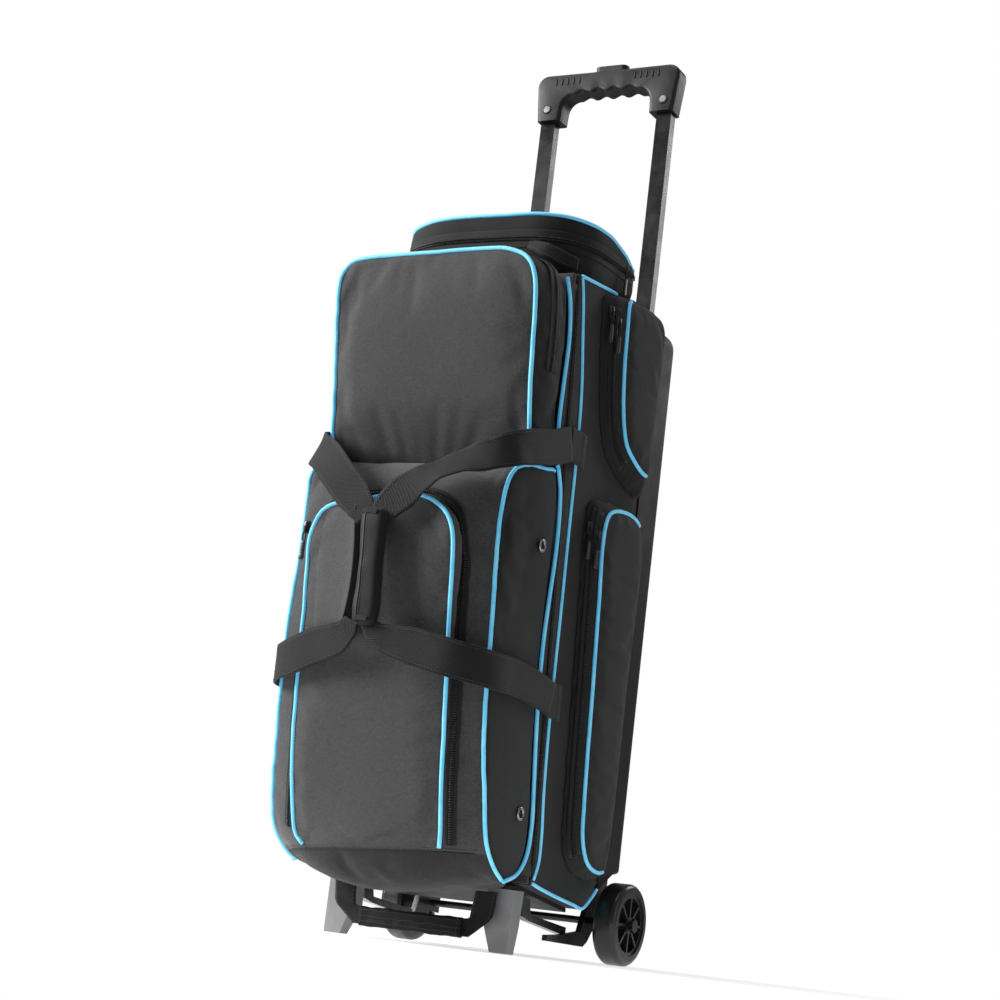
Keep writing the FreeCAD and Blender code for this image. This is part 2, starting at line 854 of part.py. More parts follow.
def make_upper_pocket():
    back_low = seam_y(D.upper_low_z) - D.seam_gap - 6.4
    back_high = seam_y(D.upper_top_z - 4) - D.seam_gap - 6.4
    outside = [
        (back_low, D.upper_low_z),
        (-112, D.upper_low_z),
        (-132, 520),
        (-146, 580),
        (-158, 650),
        (-163, 690),
        (-154, D.upper_top_z - 6),
        (-142, D.upper_top_z),
        (back_high, D.upper_top_z - 4),
    ]
    body = prism("upper_pocket", "YZ_Plane", outside, D.upper_half * 2)

    def front_corner(edge):
        spot = middle_of(edge)
        flat = abs(edge.tangentAt(edge.FirstParameter).x) < 0.01
        return flat and spot.y < -120 and spot.z < 712 and abs(spot.x) > plain(D.upper_half) - 0.1

    round_edges(body, 16, front_corner)
    inside = [
        (back_low + 20, D.upper_low_z + 5),
        (-110, D.upper_low_z + 5),
        (-127, 520),
        (-141, 580),
        (-153, 650),
        (-158, 690),
        (-149, D.upper_top_z - 11),
        (back_high + 20, D.upper_top_z - 9),
    ]
    pocket(body, outline(body, "YZ_Plane", inside), (D.upper_half - 9) * 2)
    return keep(body)


def make_door_trim():
    """Piping round both pockets and the flap, and the two vent grommets on each side."""
    cords = []
    radius = plain(D.piping_radius)
    lead = radius + 0.6
    upper = [
        (105, -132 - lead, 520),
        (105, -146 - lead, 580),
        (105, -158 - lead, 650),
        (105, -163 - lead, 698),
        (-105, -163 - lead, 698),
        (-105, -158 - lead, 650),
        (-105, -146 - lead, 580),
        (-105, -132 - lead, 520),
    ]
    cords.append(tube("upper_cord", upper, bend=24))
    flap_x = plain(D.flap_half) - 6
    arch_top = plain(D.flap_top_z) - 6
    flap = [
        (flap_x, -174.5 - lead, 106),
        (flap_x, -186 - lead, 200),
        (flap_x, -196 - lead, 300),
        (flap_x, -203 - lead, 404),
        (flap_x - 24, -202.6 - lead, arch_top),
        (24 - flap_x, -202.6 - lead, arch_top),
        (-flap_x, -203 - lead, 404),
        (-flap_x, -196 - lead, 300),
        (-flap_x, -186 - lead, 200),
        (-flap_x, -174.5 - lead, 106),
    ]
    cords.append(tube("flap_cord", flap, bend=30))
    rings = []
    for word, side in SIDES:
        out = side * (plain(D.lower_half) + radius + 0.4)
        capsule = [
            (out, -136, 470),
            (out, -144, 400),
            (out, -142, 250),
            (out, -122, 110),
            (out, -86, 80),
            (out, -44, 92),
            (out, -60, 366),
            (out, -72, 466),
            (out, -96, 478),
        ]
        cords.append(tube("capsule_cord_" + word, capsule, bend=22, closed=True))
        for number, (y, z) in enumerate(((-91.5, 416.5), (-72, 140)), 1):
            ring = doc.addObject("Part::Torus", "grommet_%s_%d" % (word, number))
            ring.Radius1 = 6.5
            ring.Radius2 = 1.6
            ring.Placement = Placement(Vector(side * (plain(D.lower_half) + 1.8), y, z),
                                       Rotation(Y_AXIS, 90))
            rings.append(ring)
    group("door_piping", cords)
    group("vent_grommets", rings)


GRIP_HALF = 21
GRIP_LOW_Z = 302
GRIP_HIGH_Z = 425


def make_haul_straps():
    """Two webbing handles, one from each side of the bag, brought together in the grip wrap."""
    width = plain(D.strap_width)
    thick = plain(D.strap_thick)
    half = plain(D.lower_half)
    grip_y = plain(D.grip_front_y) + 8
    for word, side in SIDES:
        side_x = side * (half + 5.2)
        ahead = 1 if side == RIGHT else 4
        out = (side, 0, 0)
        front = (0, -1, 0)
        corner = (side, -1, 0)
        lean = side * 0.32
        upper = [
            ((side_x, plain(seam_y(536)) - ahead, 536), (0, 0, 1), out),
            ((side_x, -150, 522), (0, 0.1, 1), out),
            ((side * (half - 6), -184, 516), (lean * 0.5, 0, 1), corner),
            ((side * 70, -198, 492), (lean, 0, 1), front),
            ((side * 33, -212, 462), (0.75 * side, 0, 1), front),
            ((side * 10.4, grip_y, GRIP_HIGH_Z + 0.3), (1 * side, 0, 0.02), front),
        ]
        lower = [
            ((side_x, plain(seam_y(265)) - ahead, 265), (0, 0, 1), out),
            ((side_x, -150, 255), (0, 0, 1), out),
            ((side * (half - 4), -188, 252), (0, 0, 1), corner),
            ((side * 72, -208, 262), (-lean * 0.6, 0, 1), front),
            ((side * 36, -216, 280), (-0.75 * side, 0, 1), front),
            ((side * 10.4, grip_y, GRIP_LOW_Z - 0.3), (-1 * side, 0, 0.02), front),
        ]
        bands = []
        for name, rungs in (("upper", upper), ("lower", lower)):
            bands.append(webbing("%s_band_%s" % (name, word), rungs[:5], width, thick))
            bands.append(webbing("%s_end_%s" % (name, word), narrowing(rungs[4], rungs[5]), 18, thick))
        group("haul_strap_" + word, bands)


def narrowing(start, stop):
    """The last folded run of a strap, which starts where the flat run stops."""
    centre, across, outward = start
    ahead = Vector(*stop[0]) - Vector(*centre)
    ahead.normalize()
    first = Vector(*centre) + ahead * 19.5
    return [((first.x, first.y, first.z), across, outward), stop]


def make_grip_wrap():
    body = new_body("grip_wrap")
    deep = 17
    rear = D.grip_front_y + deep
    plate = rectangle(0, (D.grip_front_y + rear) / 2, GRIP_HALF, deep / 2)
    pad(body, outline(body, "XY_Plane", plate, GRIP_LOW_Z), GRIP_HIGH_Z - GRIP_LOW_Z)
    round_edges(body, 6, lambda edge: runs_along(edge, Z_AXIS))
    return keep(body)


# ---------------------------------------------------------------- top compartment

def d_shape(inset=0):
    """A D in plan: straight sides and rear, a flat front and two large round corners."""
    half = D.lid_half - inset
    corner = D.lid_side_y - D.lid_front_y - inset
    front = D.lid_front_y + inset
    points = [
        (half, D.lid_rear_y - inset),
        (-half, D.lid_rear_y - inset),
        (-half, D.lid_side_y),
        (corner - half, front),
        (half - corner, front),
        (half, D.lid_side_y),
    ]
    return points, {2: corner, 4: corner}


def make_top_compartment():
    points, arcs = d_shape()
    tub = new_body("top_compartment")
    pad(tub, outline(tub, "XY_Plane", points, 700, arcs), D.lid_seam_z - 700)
    below = [
        (-140, 660),
        (-140, D.top_front_z - 15.4),
        (34, D.top_front_z + 0.4),
        (68, D.top_z + 0.4),
        (140, D.top_z + 0.4),
        (140, 660),
    ]
    pocket(tub, outline(tub, "YZ_Plane", below), 600)
    points, arcs = d_shape(5)
    cavity = outline(tub, "XY_Plane", points, D.top_z + 3, arcs)
    pocket(tub, cavity, 60, midplane=False, reverse=True)
    keep(tub)
    points, arcs = d_shape()
    lid = new_body("top_lid")
    pad(lid, outline(lid, "XY_Plane", points, D.lid_seam_z + 0.4, arcs), 50)
    above = [
        (-140, D.lid_top_z + 0.1),
        (6, D.lid_top_z - 2),
        (40, D.lid_top_z - 12),
        (62, D.lid_top_z - 24),
        (120, D.lid_top_z - 31),
        (120, 900),
        (-140, 900),
    ]
    pocket(lid, outline(lid, "YZ_Plane", above), 600)
    room = [
        (-24, D.lid_seam_z - 1),
        (-24, D.lid_top_z - 6),
        (4, D.lid_top_z - 7),
        (38, D.lid_top_z - 17),
        (56, D.lid_top_z - 27),
        (56, D.lid_seam_z - 1),
    ]
    pocket(lid, outline(lid, "YZ_Plane", room), 200)
    keep(lid)
    out = plain(D.lid_half) + plain(D.piping_radius) + 0.4
    level = plain(D.lid_top_z) - 8
    front = [
        (out, 56, level - 20),
        (out, 36, level - 9),
        (out, 6, level),
        (out, -30, level),
    ]
    cords = []
    for word, side in SIDES:
        cords.append(tube("lid_cord_" + word, mirrored(front, side), bend=30))
    group("lid_piping", cords)


# ---------------------------------------------------------------- telescopic handle

def make_handle():
    for word, side in SIDES:
        inner = square_tube("inner_tube_" + word, side, D.tube_wide / 2, D.tube_deep / 2, D.tube_wall,
                            D.tube_foot_z, D.tube_head_z)
        through = disc(inner, "XZ_Plane", (side * D.tube_x, D.bolt_z), D.bolt_radius, -D.tube_y)
        pocket(inner, through, D.tube_deep * 2)
        keep(inner)
    stops = []
    for word, side in SIDES:
        stop = new_body("stop_" + word)
        plug = rectangle(side * D.tube_x, D.tube_y, D.tube_wide / 2, D.tube_deep / 2)
        pad(stop, outline(stop, "XY_Plane", plug, D.tube_foot_z - 20), 19.8)
        stops.append(stop)
    group("tube_end_stops", stops)
    make_grip_housing()
    bolts = []
    for word, side in SIDES:
        bolt = doc.addObject("Part::Cylinder", "bolt_" + word)
        bolt.Radius = plain(D.bolt_radius) - 0.2
        bolt.Height = 24
        bolt.Placement = Placement(Vector(side * plain(D.tube_x), plain(D.grip_front) + 25, plain(D.bolt_z)),
                                   Rotation(X_AXIS, 90))
        head = doc.addObject("Part::Cylinder", "bolt_head_" + word)
        head.Radius = 4.2
        head.Height = 2.4
        head.Placement = Placement(bolt.Placement.Base - Y_AXIS * 23.8, bolt.Placement.Rotation)
        bolts += [bolt, head]
    group("grip_bolts", bolts)


def make_grip_housing():
    """The moulded grip: two sockets over the tubes and a bar with finger grooves under it."""
    body = new_body("grip_housing")
    deep = D.grip_rear - D.grip_front
    half = D.grip_half
    low, top = D.grip_low_z, D.grip_top_z
    shoulder = D.grip_shoulder
    face = [
        (-(half - 5), low),
        (-(half - 35), low),
        (-(half - 36), low + 27),
        (half - 36, low + 27),
        (half - 35, low),
        (half - 5, low),
        (half, top - shoulder),
        (half - shoulder, top),
        (shoulder - half, top),
        (-half, top - shoulder),
    ]
    middle = -(D.grip_front + D.grip_rear) / 2
    pad(body, outline(body, "XZ_Plane", face, middle, {6: shoulder, 8: shoulder}), deep, midplane=True)
    pitch = 22
    for number in range(5):
        x = (number - 2) * pitch
        groove = disc(body, "XZ_Plane", (x, low + 20), 12.5, middle)
        pocket(body, groove, deep * 2)

    def outer_long(edge):
        spot = middle_of(edge)
        return abs(edge.tangentAt(edge.FirstParameter).y) < 0.01 and spot.z > plain(low) + 30 \
            and (abs(spot.x) > plain(half) - 30 or spot.z > plain(top) - 4)

    round_edges(body, 5, outer_long)
    for side in (LEFT, RIGHT):
        socket = rectangle(side * D.tube_x, D.tube_y, D.tube_wide / 2 + 0.05, D.tube_deep / 2 + 0.05)
        pocket(body, outline(body, "XY_Plane", socket, low - 1), D.tube_head_z - low + 1.4,
               midplane=False, reverse=True)
        bolt_hole = disc(body, "XZ_Plane", (side * D.tube_x, D.bolt_z), D.bolt_radius, 0)
        pocket(body, bolt_hole, D.grip_front + 26, midplane=False, reverse=False)
        head_hole = disc(body, "XZ_Plane", (side * D.tube_x, D.bolt_z), 4.5, 0)
        pocket(body, head_hole, D.grip_front + 1.4, midplane=False, reverse=False)
    slot = rectangle(0, (D.grip_front + D.grip_rear) / 2, 22, 8)
    pocket(body, outline(body, "XY_Plane", slot, top + 1), 14, midplane=False, reverse=False)
    keep(body)
    button = new_body("release_button")
    face = rectangle(0, (D.grip_front + D.grip_rear) / 2, 21.6, 7.6)
    foot = top - 13 + 5
    pad(button, outline(button, "XY_Plane", face, foot), top + D.button_rise - foot)
    round_edges(button, 7, lambda edge: runs_along(edge, Z_AXIS))
    keep(button)


# ---------------------------------------------------------------- wheels

def make_wheel(word, side):
    start = D.wheel_in if side == RIGHT else -(D.wheel_in + D.wheel_wide)
    tyre = new_body("tyre_" + word)
    centre = (D.wheel_y, D.wheel_radius)
    pad(tyre, disc(tyre, "YZ_Plane", centre, D.wheel_radius, start), D.wheel_wide)
    pocket(tyre, disc(tyre, "YZ_Plane", centre, D.rim_radius, start + D.wheel_wide / 2),
           D.wheel_wide * 2)

    def tread(edge):
        return edge.Curve.TypeId == "Part::GeomCircle" and edge.Curve.Radius > plain(D.wheel_radius) - 0.5

    round_edges(tyre, 6, tread)
    keep(tyre)
    hub = new_body("hub_" + word)
    pad(hub, disc(hub, "YZ_Plane", centre, D.rim_radius, start + 2), D.wheel_wide - 4)
    face = start + D.wheel_wide - 2 if side == RIGHT else start + 2
    dish = new_body("dish_" + word)
    pad(dish, disc(dish, "YZ_Plane", centre, D.rim_radius - 4, face - 7), 14)
    pocket(dish, disc(dish, "YZ_Plane", centre, 9, face), 60)
    spokes = []
    for number in range(8):
        spoke = doc.addObject("Part::Box", "spoke_%s_%d" % (word, number))
        spoke.Length = 30
        spoke.Width = 40
        spoke.Height = 3
        turn = Rotation(X_AXIS, 45.0 * number)
        corner = Vector(plain(face) - 15, 0, -1.5)
        middle = Vector(0, plain(D.wheel_y), plain(D.wheel_radius))
        spoke.Placement = Placement(middle + turn.multVec(corner), turn)
        spokes.append(spoke)
    fan = doc.addObject("Part::MultiFuse", "spokes_" + word)
    fan.Shapes = spokes
    hollow = doc.addObject("Part::Cut", "dish_cut_" + word)
    hollow.Base = dish
    hollow.Tool = fan
    blank = doc.addObject("Part::Cut", "hub_blank_" + word)
    blank.Base = hub
    blank.Tool = hollow
    bore = doc.addObject("Part::Cylinder", "hub_bore_" + word)
    bore.Radius = plain(D.axle_radius + D.axle_fit)
    bind(bore, "Radius", D.axle_radius + D.axle_fit)
    bore.Height = 60
    bore.Placement = Placement(Vector(plain(start) - 10, plain(D.wheel_y), plain(D.wheel_radius)),
                               Rotation(Y_AXIS, 90))
    wheel = doc.addObject("Part::Cut", "wheel_hub_" + word)
    wheel.Base = blank
    wheel.Tool = bore
    doc.recompute()
    hub.Label = "hub_core_" + word
    keep(wheel, "hub_" + word)


# ---------------------------------------------------------------- carry handle at the bottom

def make_carry_handle():
    """A webbing loop hanging from the tray's front edge, with a stitched sleeve round its middle."""
    thick = plain(D.strap_thick)
    front = (0, -1, 0)
    level = plain(D.carry_z)
    half = plain(D.carry_half)
    rear = -42
    rungs = [
        ((-86, rear, 61), (1, 0, 0), front),
        ((-84, rear, 44), (1, 0, 0.3), front),
        ((-77, rear, 30), (0.7, 0, 1), front),
        ((-half, rear, level), (0, 0, 1), front),
        ((half, rear, level), (0, 0, 1), front),
        ((77, rear, 30), (-0.7, 0, 1), front),
        ((84, rear, 44), (-1, 0, 0.3), front),
        ((86, rear, 61), (-1, 0, 0), front),
    ]
    width = 20
    keep(webbing("carry_strap", rungs, width, thick), "carry_strap")
    sleeve = new_body("carry_sleeve")
    middle = rear - thick / 2
    ring = rectangle(middle, D.carry_z, 5, width / 2 + 1.6)
    pad(sleeve, outline(sleeve, "YZ_Plane", ring), D.carry_half * 2, midplane=True)
    slot = rectangle(middle, D.carry_z, thick / 2 + 0.5, width / 2 + 0.5)
    pocket(sleeve, outline(sleeve, "YZ_Plane", slot), D.carry_half * 4)
    keep(sleeve)


# ---------------------------------------------------------------- zipper sliders and pulls

# each is a place for the hinge of the pull, and the turn about Z that faces it outwards
PULLS = {
    "upper_pull_front": ((135, -1, 700), 69.4),
    "upper_pull_rear": ((139.2, 11.4, 690), 69.4),
    "lower_pull_front": ((133.6, 6, 458), 56.9),
    "lower_pull_rear": ((139.6, 15.2, 450), 56.9),
    "lid_pull": ((128.5, 34, 765), 90),
    "flap_pull": ((97, -194.5, 410), 0),
}


def make_pull(name, place, turn):
    """A slim tab that hangs from its hinge, with a wider finger end."""
    body = new_body(name)
    long = D.pull_long
    face = [
        (-2, 1),
        (2, 1),
        (2, -long * 0.45),
        (3.6, -long * 0.55),
        (3.6, -long),
        (-3.6, -long),
        (-3.6, -long * 0.55),
        (-2, -long * 0.45),
    ]
    pad(body, outline(body, "XZ_Plane", face), 2.6, midplane=True)
    body.Placement = Placement(Vector(*place), Rotation(Z_AXIS, turn))
    return keep(body)


def make_slider(name, place, turn):
    """The slider body that the pull hangs in, just behind it on the zipper."""
    block = doc.addObject("Part::Box", name)
    block.Length = 8
    block.Width = 2.2
    block.Height = 12
    block.Placement = Placement(Vector(*place), Rotation(Z_AXIS, turn))
    shift = block.Placement.Rotation.multVec(Vector(-4, 1.9, -8))
    block.Placement = Placement(Vector(*place) + shift, Rotation(Z_AXIS, turn))
    return block


def make_zippers(flap_tape):
    bag_sliders = []
    flap_zipper = [flap_tape]
    for name, (place, turn) in PULLS.items():
        wanted = SIDES if name.startswith(("upper", "lower")) else SIDES[1:]
        if name == "flap_pull":
            wanted = SIDES[:1]
        for word, side in wanted:
            spot = (side * place[0], place[1], place[2])
            make_pull("%s_%s" % (name, word), spot, side * turn)
            piece = make_slider("slider_%s_%s" % (name, word), spot, side * turn)
            (flap_zipper if name == "flap_pull" else bag_sliders).append(piece)
    group("zipper_sliders", bag_sliders)
    group("flap_zipper", flap_zipper)


# ---------------------------------------------------------------- build, check and write

def build():
    make_body_shell()
    make_back_shell()
    make_sleeves()
    make_base()
    make_axle()
    make_ball_bays()
    make_side_pockets()
    make_body_trim()
    make_door_panel()
    make_lower_pocket()
    flap_tape = make_arch_flap()
    make_upper_pocket()
    make_door_trim()
    make_haul_straps()
    make_grip_wrap()
    make_top_compartment()
    make_handle()
    for word, side in SIDES:
        make_wheel(word, side)
    make_carry_handle()
    make_zippers(flap_tape)


def check():
    """Stops if a feature failed or a node's shape is empty, open or broken."""
    doc.recompute()
    for thing in doc.Objects:
        bad = [word for word in thing.State if word in ("Invalid", "Error")]
        if bad:
            raise RuntimeError("%s: %s" % (thing.Label, bad))
    for node in NODES:
        shape = node.Shape
        if shape.isNull() or not shape.isValid() or not shape.Solids:
            raise RuntimeError("%s has no valid shape" % node.Label)
        for solid in shape.Solids:
            if solid.Volume <= 0 or not solid.isClosed():
                raise RuntimeError("%s is not a closed solid" % node.Label)


def write():
    os.makedirs("parts", exist_ok=True)
    for node in NODES:
        node.Shape.exportStep("parts/%s.step" % node.Label)
    print("%d nodes" % len(NODES))


build()
check()
write()
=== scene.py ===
import math
from itertools import accumulate

import bmesh
import bpy
from mathutils import Matrix, Vector, noise
from mathutils.kdtree import KDTree


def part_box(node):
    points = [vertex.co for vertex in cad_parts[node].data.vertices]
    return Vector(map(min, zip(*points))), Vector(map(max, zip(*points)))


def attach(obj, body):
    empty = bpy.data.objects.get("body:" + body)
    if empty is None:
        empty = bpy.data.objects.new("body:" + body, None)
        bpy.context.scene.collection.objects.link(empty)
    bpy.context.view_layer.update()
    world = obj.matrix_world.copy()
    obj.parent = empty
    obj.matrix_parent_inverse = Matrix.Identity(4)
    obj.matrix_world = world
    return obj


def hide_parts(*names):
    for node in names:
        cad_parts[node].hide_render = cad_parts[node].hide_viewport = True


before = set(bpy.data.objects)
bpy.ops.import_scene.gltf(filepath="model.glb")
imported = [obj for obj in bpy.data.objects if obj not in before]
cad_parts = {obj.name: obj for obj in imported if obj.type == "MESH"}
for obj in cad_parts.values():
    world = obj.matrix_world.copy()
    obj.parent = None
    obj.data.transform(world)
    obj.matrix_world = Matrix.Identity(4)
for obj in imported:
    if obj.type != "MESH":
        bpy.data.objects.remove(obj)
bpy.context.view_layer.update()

# A rolling bowling bag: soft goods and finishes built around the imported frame.
# Lengths in this file are in mm and become metres where a mesh is made.

MM = 0.001
RIGHT, LEFT = 1, -1
SIDES = ((RIGHT, "right"), (LEFT, "left"))
FORWARD = Vector((0, -1, 0))
BODY_HALF = 125.0  # from the middle of the bag to its side cloth
LINING_HALF = 118.0  # and to its lining
TUBE_X, TUBE_Y = 79.5, 194.0  # the middle of a handle tube
SHELL_WALL = 3.0


# ---------------------------------------------------------------- materials

class Graph:
    """A small wrapper over a material's nodes."""

    def __init__(self, name):
        self.material = bpy.data.materials.new(name)
        self.material.use_nodes = True
        self.tree = self.material.node_tree
        self.shader = self.tree.nodes["Principled BSDF"]
        self.coords = self.tree.nodes.new("ShaderNodeTexCoord")
        self.spot = self.coords.outputs["Object"]

    def node(self, kind, inputs=(), output=0, **settings):
        made = self.tree.nodes.new(kind)
        for key, value in settings.items():
            setattr(made, key, value)
        for socket, value in dict(inputs).items():
            self.feed(made.inputs[socket], value)
        return made.outputs[output]

    def feed(self, socket, value):
        if isinstance(value, bpy.types.NodeSocket):
            self.tree.links.new(value, socket)
        else:
            socket.default_value = value

    def math(self, operation, *values):
        return self.node("ShaderNodeMath", dict(enumerate(values)), operation=operation)

    def scaled(self, vector, factors):
        return self.node("ShaderNodeVectorMath", {0: vector, 1: factors}, operation="MULTIPLY")

    def parts(self, vector):
        return self.node("ShaderNodeSeparateXYZ", {0: vector}).node.outputs

    def noise(self, vector, scale, detail=2.0, roughness=0.5):
        return self.node("ShaderNodeTexNoise", {"Vector": vector, "Scale": scale, "Detail": detail,
                                                "Roughness": roughness})

    def ramp(self, value, low, high, first, last):
        return self.node("ShaderNodeMapRange", {"Value": value, "From Min": low, "From Max": high,
                                                "To Min": first, "To Max": last})

    def shade(self, value, low, high, dark, light, most=1.0):
        """A colour between dark and light, by where the value is between low and high."""
        factor = self.ramp(value, low, high, 0.0, most)
        return self.node("ShaderNodeMix", {0: factor, 6: (*dark, 1.0), 7: (*light, 1.0)}, 2, data_type="RGBA")

    def bump(self, height, strength, distance, **under):
        return self.node("ShaderNodeBump", {"Height": height, "Strength": strength, "Distance": distance, **under})

    def surface(self, **values):
        names = {"color": "Base Color", "rough": "Roughness", "metal": "Metallic", "normal": "Normal",
                 "sheen": "Sheen Weight", "sheen_rough": "Sheen Roughness", "coat": "Coat Weight",
                 "coat_rough": "Coat Roughness", "specular": "Specular IOR Level",
                 "glow_color": "Emission Color", "glow": "Emission Strength"}
        for key, value in values.items():
            self.feed(self.shader.inputs[names[key]], value)
        return self.material


def woven_height(graph, thread):
    """Over and under threads on whatever plane the surface faces, from -1 to 1."""
    turns = math.pi / (thread * MM)
    across = [graph.math("SINE", axis) for axis in graph.parts(graph.scaled(graph.spot, (turns,) * 3))]
    facing = graph.parts(graph.coords.outputs["Normal"])
    total = None
    for index, (a, b) in enumerate(((1, 2), (0, 2), (0, 1))):
        weight = graph.math("MULTIPLY", facing[index], facing[index])
        part = graph.math("MULTIPLY", graph.math("MULTIPLY", across[a], across[b]), weight)
        total = part if total is None else graph.math("ADD", total, part)
    return total


def cloth(name, dark, light, thread, sheen, rough=0.8, depth=0.35):
    """A plain woven polyester, with uneven yarns, a faint mottle and dusty wear."""
    graph = Graph(name)
    weave = woven_height(graph, thread)
    lines = graph.noise(graph.scaled(graph.spot, (190, 190, 900)), 1.0, 2.0, 0.6)
    posts = graph.noise(graph.scaled(graph.spot, (900, 900, 170)), 1.0, 2.0, 0.6)
    yarn = graph.math("ADD", lines, posts)
    mottle = graph.noise(graph.spot, 9.0, 4.0, 0.55)
    tone = graph.math("MULTIPLY_ADD", weave, 0.22, 0.05)
    tone = graph.math("MULTIPLY_ADD", yarn, 0.42, tone)
    tone = graph.math("MULTIPLY_ADD", mottle, 0.16, tone)
    threads = graph.bump(graph.math("MULTIPLY_ADD", yarn, 0.6, weave), depth, 0.0004)
    soft = graph.bump(graph.noise(graph.spot, 26.0, 3.0, 0.5), 0.25, 0.0022, Normal=threads)
    return graph.surface(color=graph.shade(tone, 0.20, 0.90, dark, light), normal=soft,
                         rough=graph.ramp(mottle, 0.3, 0.7, rough - 0.06, rough + 0.08),
                         sheen=sheen, sheen_rough=0.45, specular=0.3)


def web(name, dark, light, rib=2.1):
    """Twill webbing: slanting ribs along the strap's own length, with a finer yarn across them."""
    graph = Graph(name)
    u, v, _ = graph.parts(graph.coords.outputs["UV"])
    turns = 2 * math.pi / (rib * MM)
    slant = graph.math("SINE", graph.math("MULTIPLY", graph.math("ADD", u, v), turns))
    yarn = graph.math("SINE", graph.math("MULTIPLY", graph.math("SUBTRACT", u, v), turns * 1.9))
    height = graph.math("MULTIPLY_ADD", yarn, 0.3, slant)
    grain = graph.noise(graph.spot, 900.0, 2.0, 0.6)
    tone = graph.math("MULTIPLY_ADD", grain, 0.9, graph.math("MULTIPLY", height, 0.28))
    return graph.surface(color=graph.shade(tone, 0.1, 0.9, dark, light), rough=0.62,
                         normal=graph.bump(height, 0.55, 0.0005), sheen=0.12, sheen_rough=0.4, specular=0.25)


def moulded(name, color, rough, grain=0.0, scale=900.0, metal=0.0, coat=0.0, specular=0.5):
    """Plastic, rubber, paint or metal with a fine surface grain and uneven gloss from handling."""
    graph = Graph(name)
    worn = graph.noise(graph.spot, 34.0, 4.0, 0.6)
    rubbed = [channel * 1.45 + 0.006 for channel in color]
    return graph.surface(color=graph.shade(worn, 0.45, 0.75, color, rubbed, 0.6),
                         rough=graph.ramp(worn, 0.3, 0.75, rough - 0.08, rough + 0.08),
                         normal=graph.bump(graph.noise(graph.spot, scale, 3.0, 0.6), 0.15 + grain, 0.0004),
                         metal=metal, coat=coat, coat_rough=0.25, specular=specular)


def foam_material():
    graph = Graph("foam")
    cells = graph.node("ShaderNodeTexVoronoi", {"Vector": graph.spot, "Scale": 520.0})
    return graph.surface(color=graph.shade(cells, 0.1, 0.7, (0.012, 0.012, 0.013), (0.045, 0.045, 0.048)),
                         rough=0.92, normal=graph.bump(cells, 0.5, 0.0012), specular=0.2)


def cord_material():
    """Bright woven piping, with a painted glow: a little emission so that its colour holds in the shade."""
    graph = Graph("piping_blue")
    shift = graph.noise(graph.spot, 45.0, 3.0, 0.6)
    return graph.surface(color=graph.shade(shift, 0.3, 0.7, (0.15, 0.64, 0.96), (0.27, 0.82, 1.0)), rough=0.48,
                         normal=graph.bump(woven_height(graph, 0.55), 0.4, 0.0003), sheen=0.15,
                         sheen_rough=0.4, specular=0.4, glow_color=(0.04, 0.36, 0.80, 1.0), glow=0.22)


def floor_material():
    """Pale and even, and it fades out to the pale surroundings a few metres away."""
    graph = Graph("pale_floor")
    distance = graph.node("ShaderNodeVectorMath", {0: graph.spot}, "Value", operation="LENGTH")
    grain = graph.noise(graph.spot, 3.0, 3.0, 0.5)
    graph.surface(color=graph.shade(grain, 0.3, 0.7, (0.66,) * 3, (0.68,) * 3), rough=0.7, specular=0.15,
                  glow_color=(1, 1, 1, 1), glow=0.62)
    mix = graph.node("ShaderNodeMixShader", {0: graph.ramp(distance, 0.5, 1.6, 0.0, 1.0), 1: graph.shader.outputs[0],
                                             2: graph.node("ShaderNodeBsdfTransparent")})
    graph.feed(graph.tree.nodes["Material Output"].inputs[0], mix)
    return graph.material


# painted shade: the lower pocket's bottom panel gets a darker copy of the same fabric, as shade on a panel that faces
# down
BOTTOM_PAINTED_SHADE = cloth("cloth_bottom_painted_shade", (0.006, 0.006, 0.0062), (0.036, 0.036, 0.037), 1.15, 0.12, depth=0.5)
# painted light: the front panels' cloth is a lighter copy of the same fabric, standing in for the fronts lit by the
# lamps
CLOTH_PAINTED_LIT = cloth("cloth_front", (0.011, 0.011, 0.0113), (0.092, 0.092, 0.094), 1.15, 0.24, depth=0.6)
# painted shade: the cloth of the sides, gussets, lid and body is a darker copy of the same fabric, standing in for the
# shade on them
CLOTH_PAINTED_SHADE = cloth("cloth_side", (0.0045, 0.0045, 0.0047), (0.0155, 0.0155, 0.016), 1.05, 0.11)
LINING = cloth("lining", (0.010, 0.010, 0.011), (0.024, 0.024, 0.026), 0.7, 0.35, 0.62, 0.2)
TAPE = cloth("zipper_tape", (0.0045, 0.0045, 0.005), (0.014, 0.014, 0.015), 0.6, 0.1, 0.72, 0.3)
WEB = web("webbing", (0.0018, 0.0018, 0.002), (0.0125, 0.0125, 0.013))
PADDED = web("grip_fabric", (0.0015, 0.0015, 0.0016), (0.0075, 0.0075, 0.008), 1.4)
PIPING = cord_material()
COIL = moulded("zipper_coil", (0.010, 0.010, 0.011), 0.34, scale=1500.0, coat=0.1)
THREAD = moulded("stitching", (0.055, 0.055, 0.06), 0.6, scale=1500.0)
PULL = moulded("pull_plastic", (0.010, 0.010, 0.011), 0.36, 0.05, 700.0, coat=0.15)
SHELL = moulded("shell_plastic", (0.008, 0.008, 0.0085), 0.56, 0.45, 620.0, specular=0.25)
TUBE = moulded("handle_tube", (0.0055, 0.0055, 0.006), 0.3, 0.02, 1200.0, specular=0.35)
GRIP = moulded("grip_plastic", (0.009, 0.009, 0.0095), 0.42, 0.35, 800.0, specular=0.4)
BOLT = moulded("bolt_steel", (0.55, 0.55, 0.56), 0.28, 0.02, 1500.0, metal=1.0)
TYRE = moulded("tyre", (0.010, 0.010, 0.010), 0.30, 0.06, 500.0, coat=0.2)
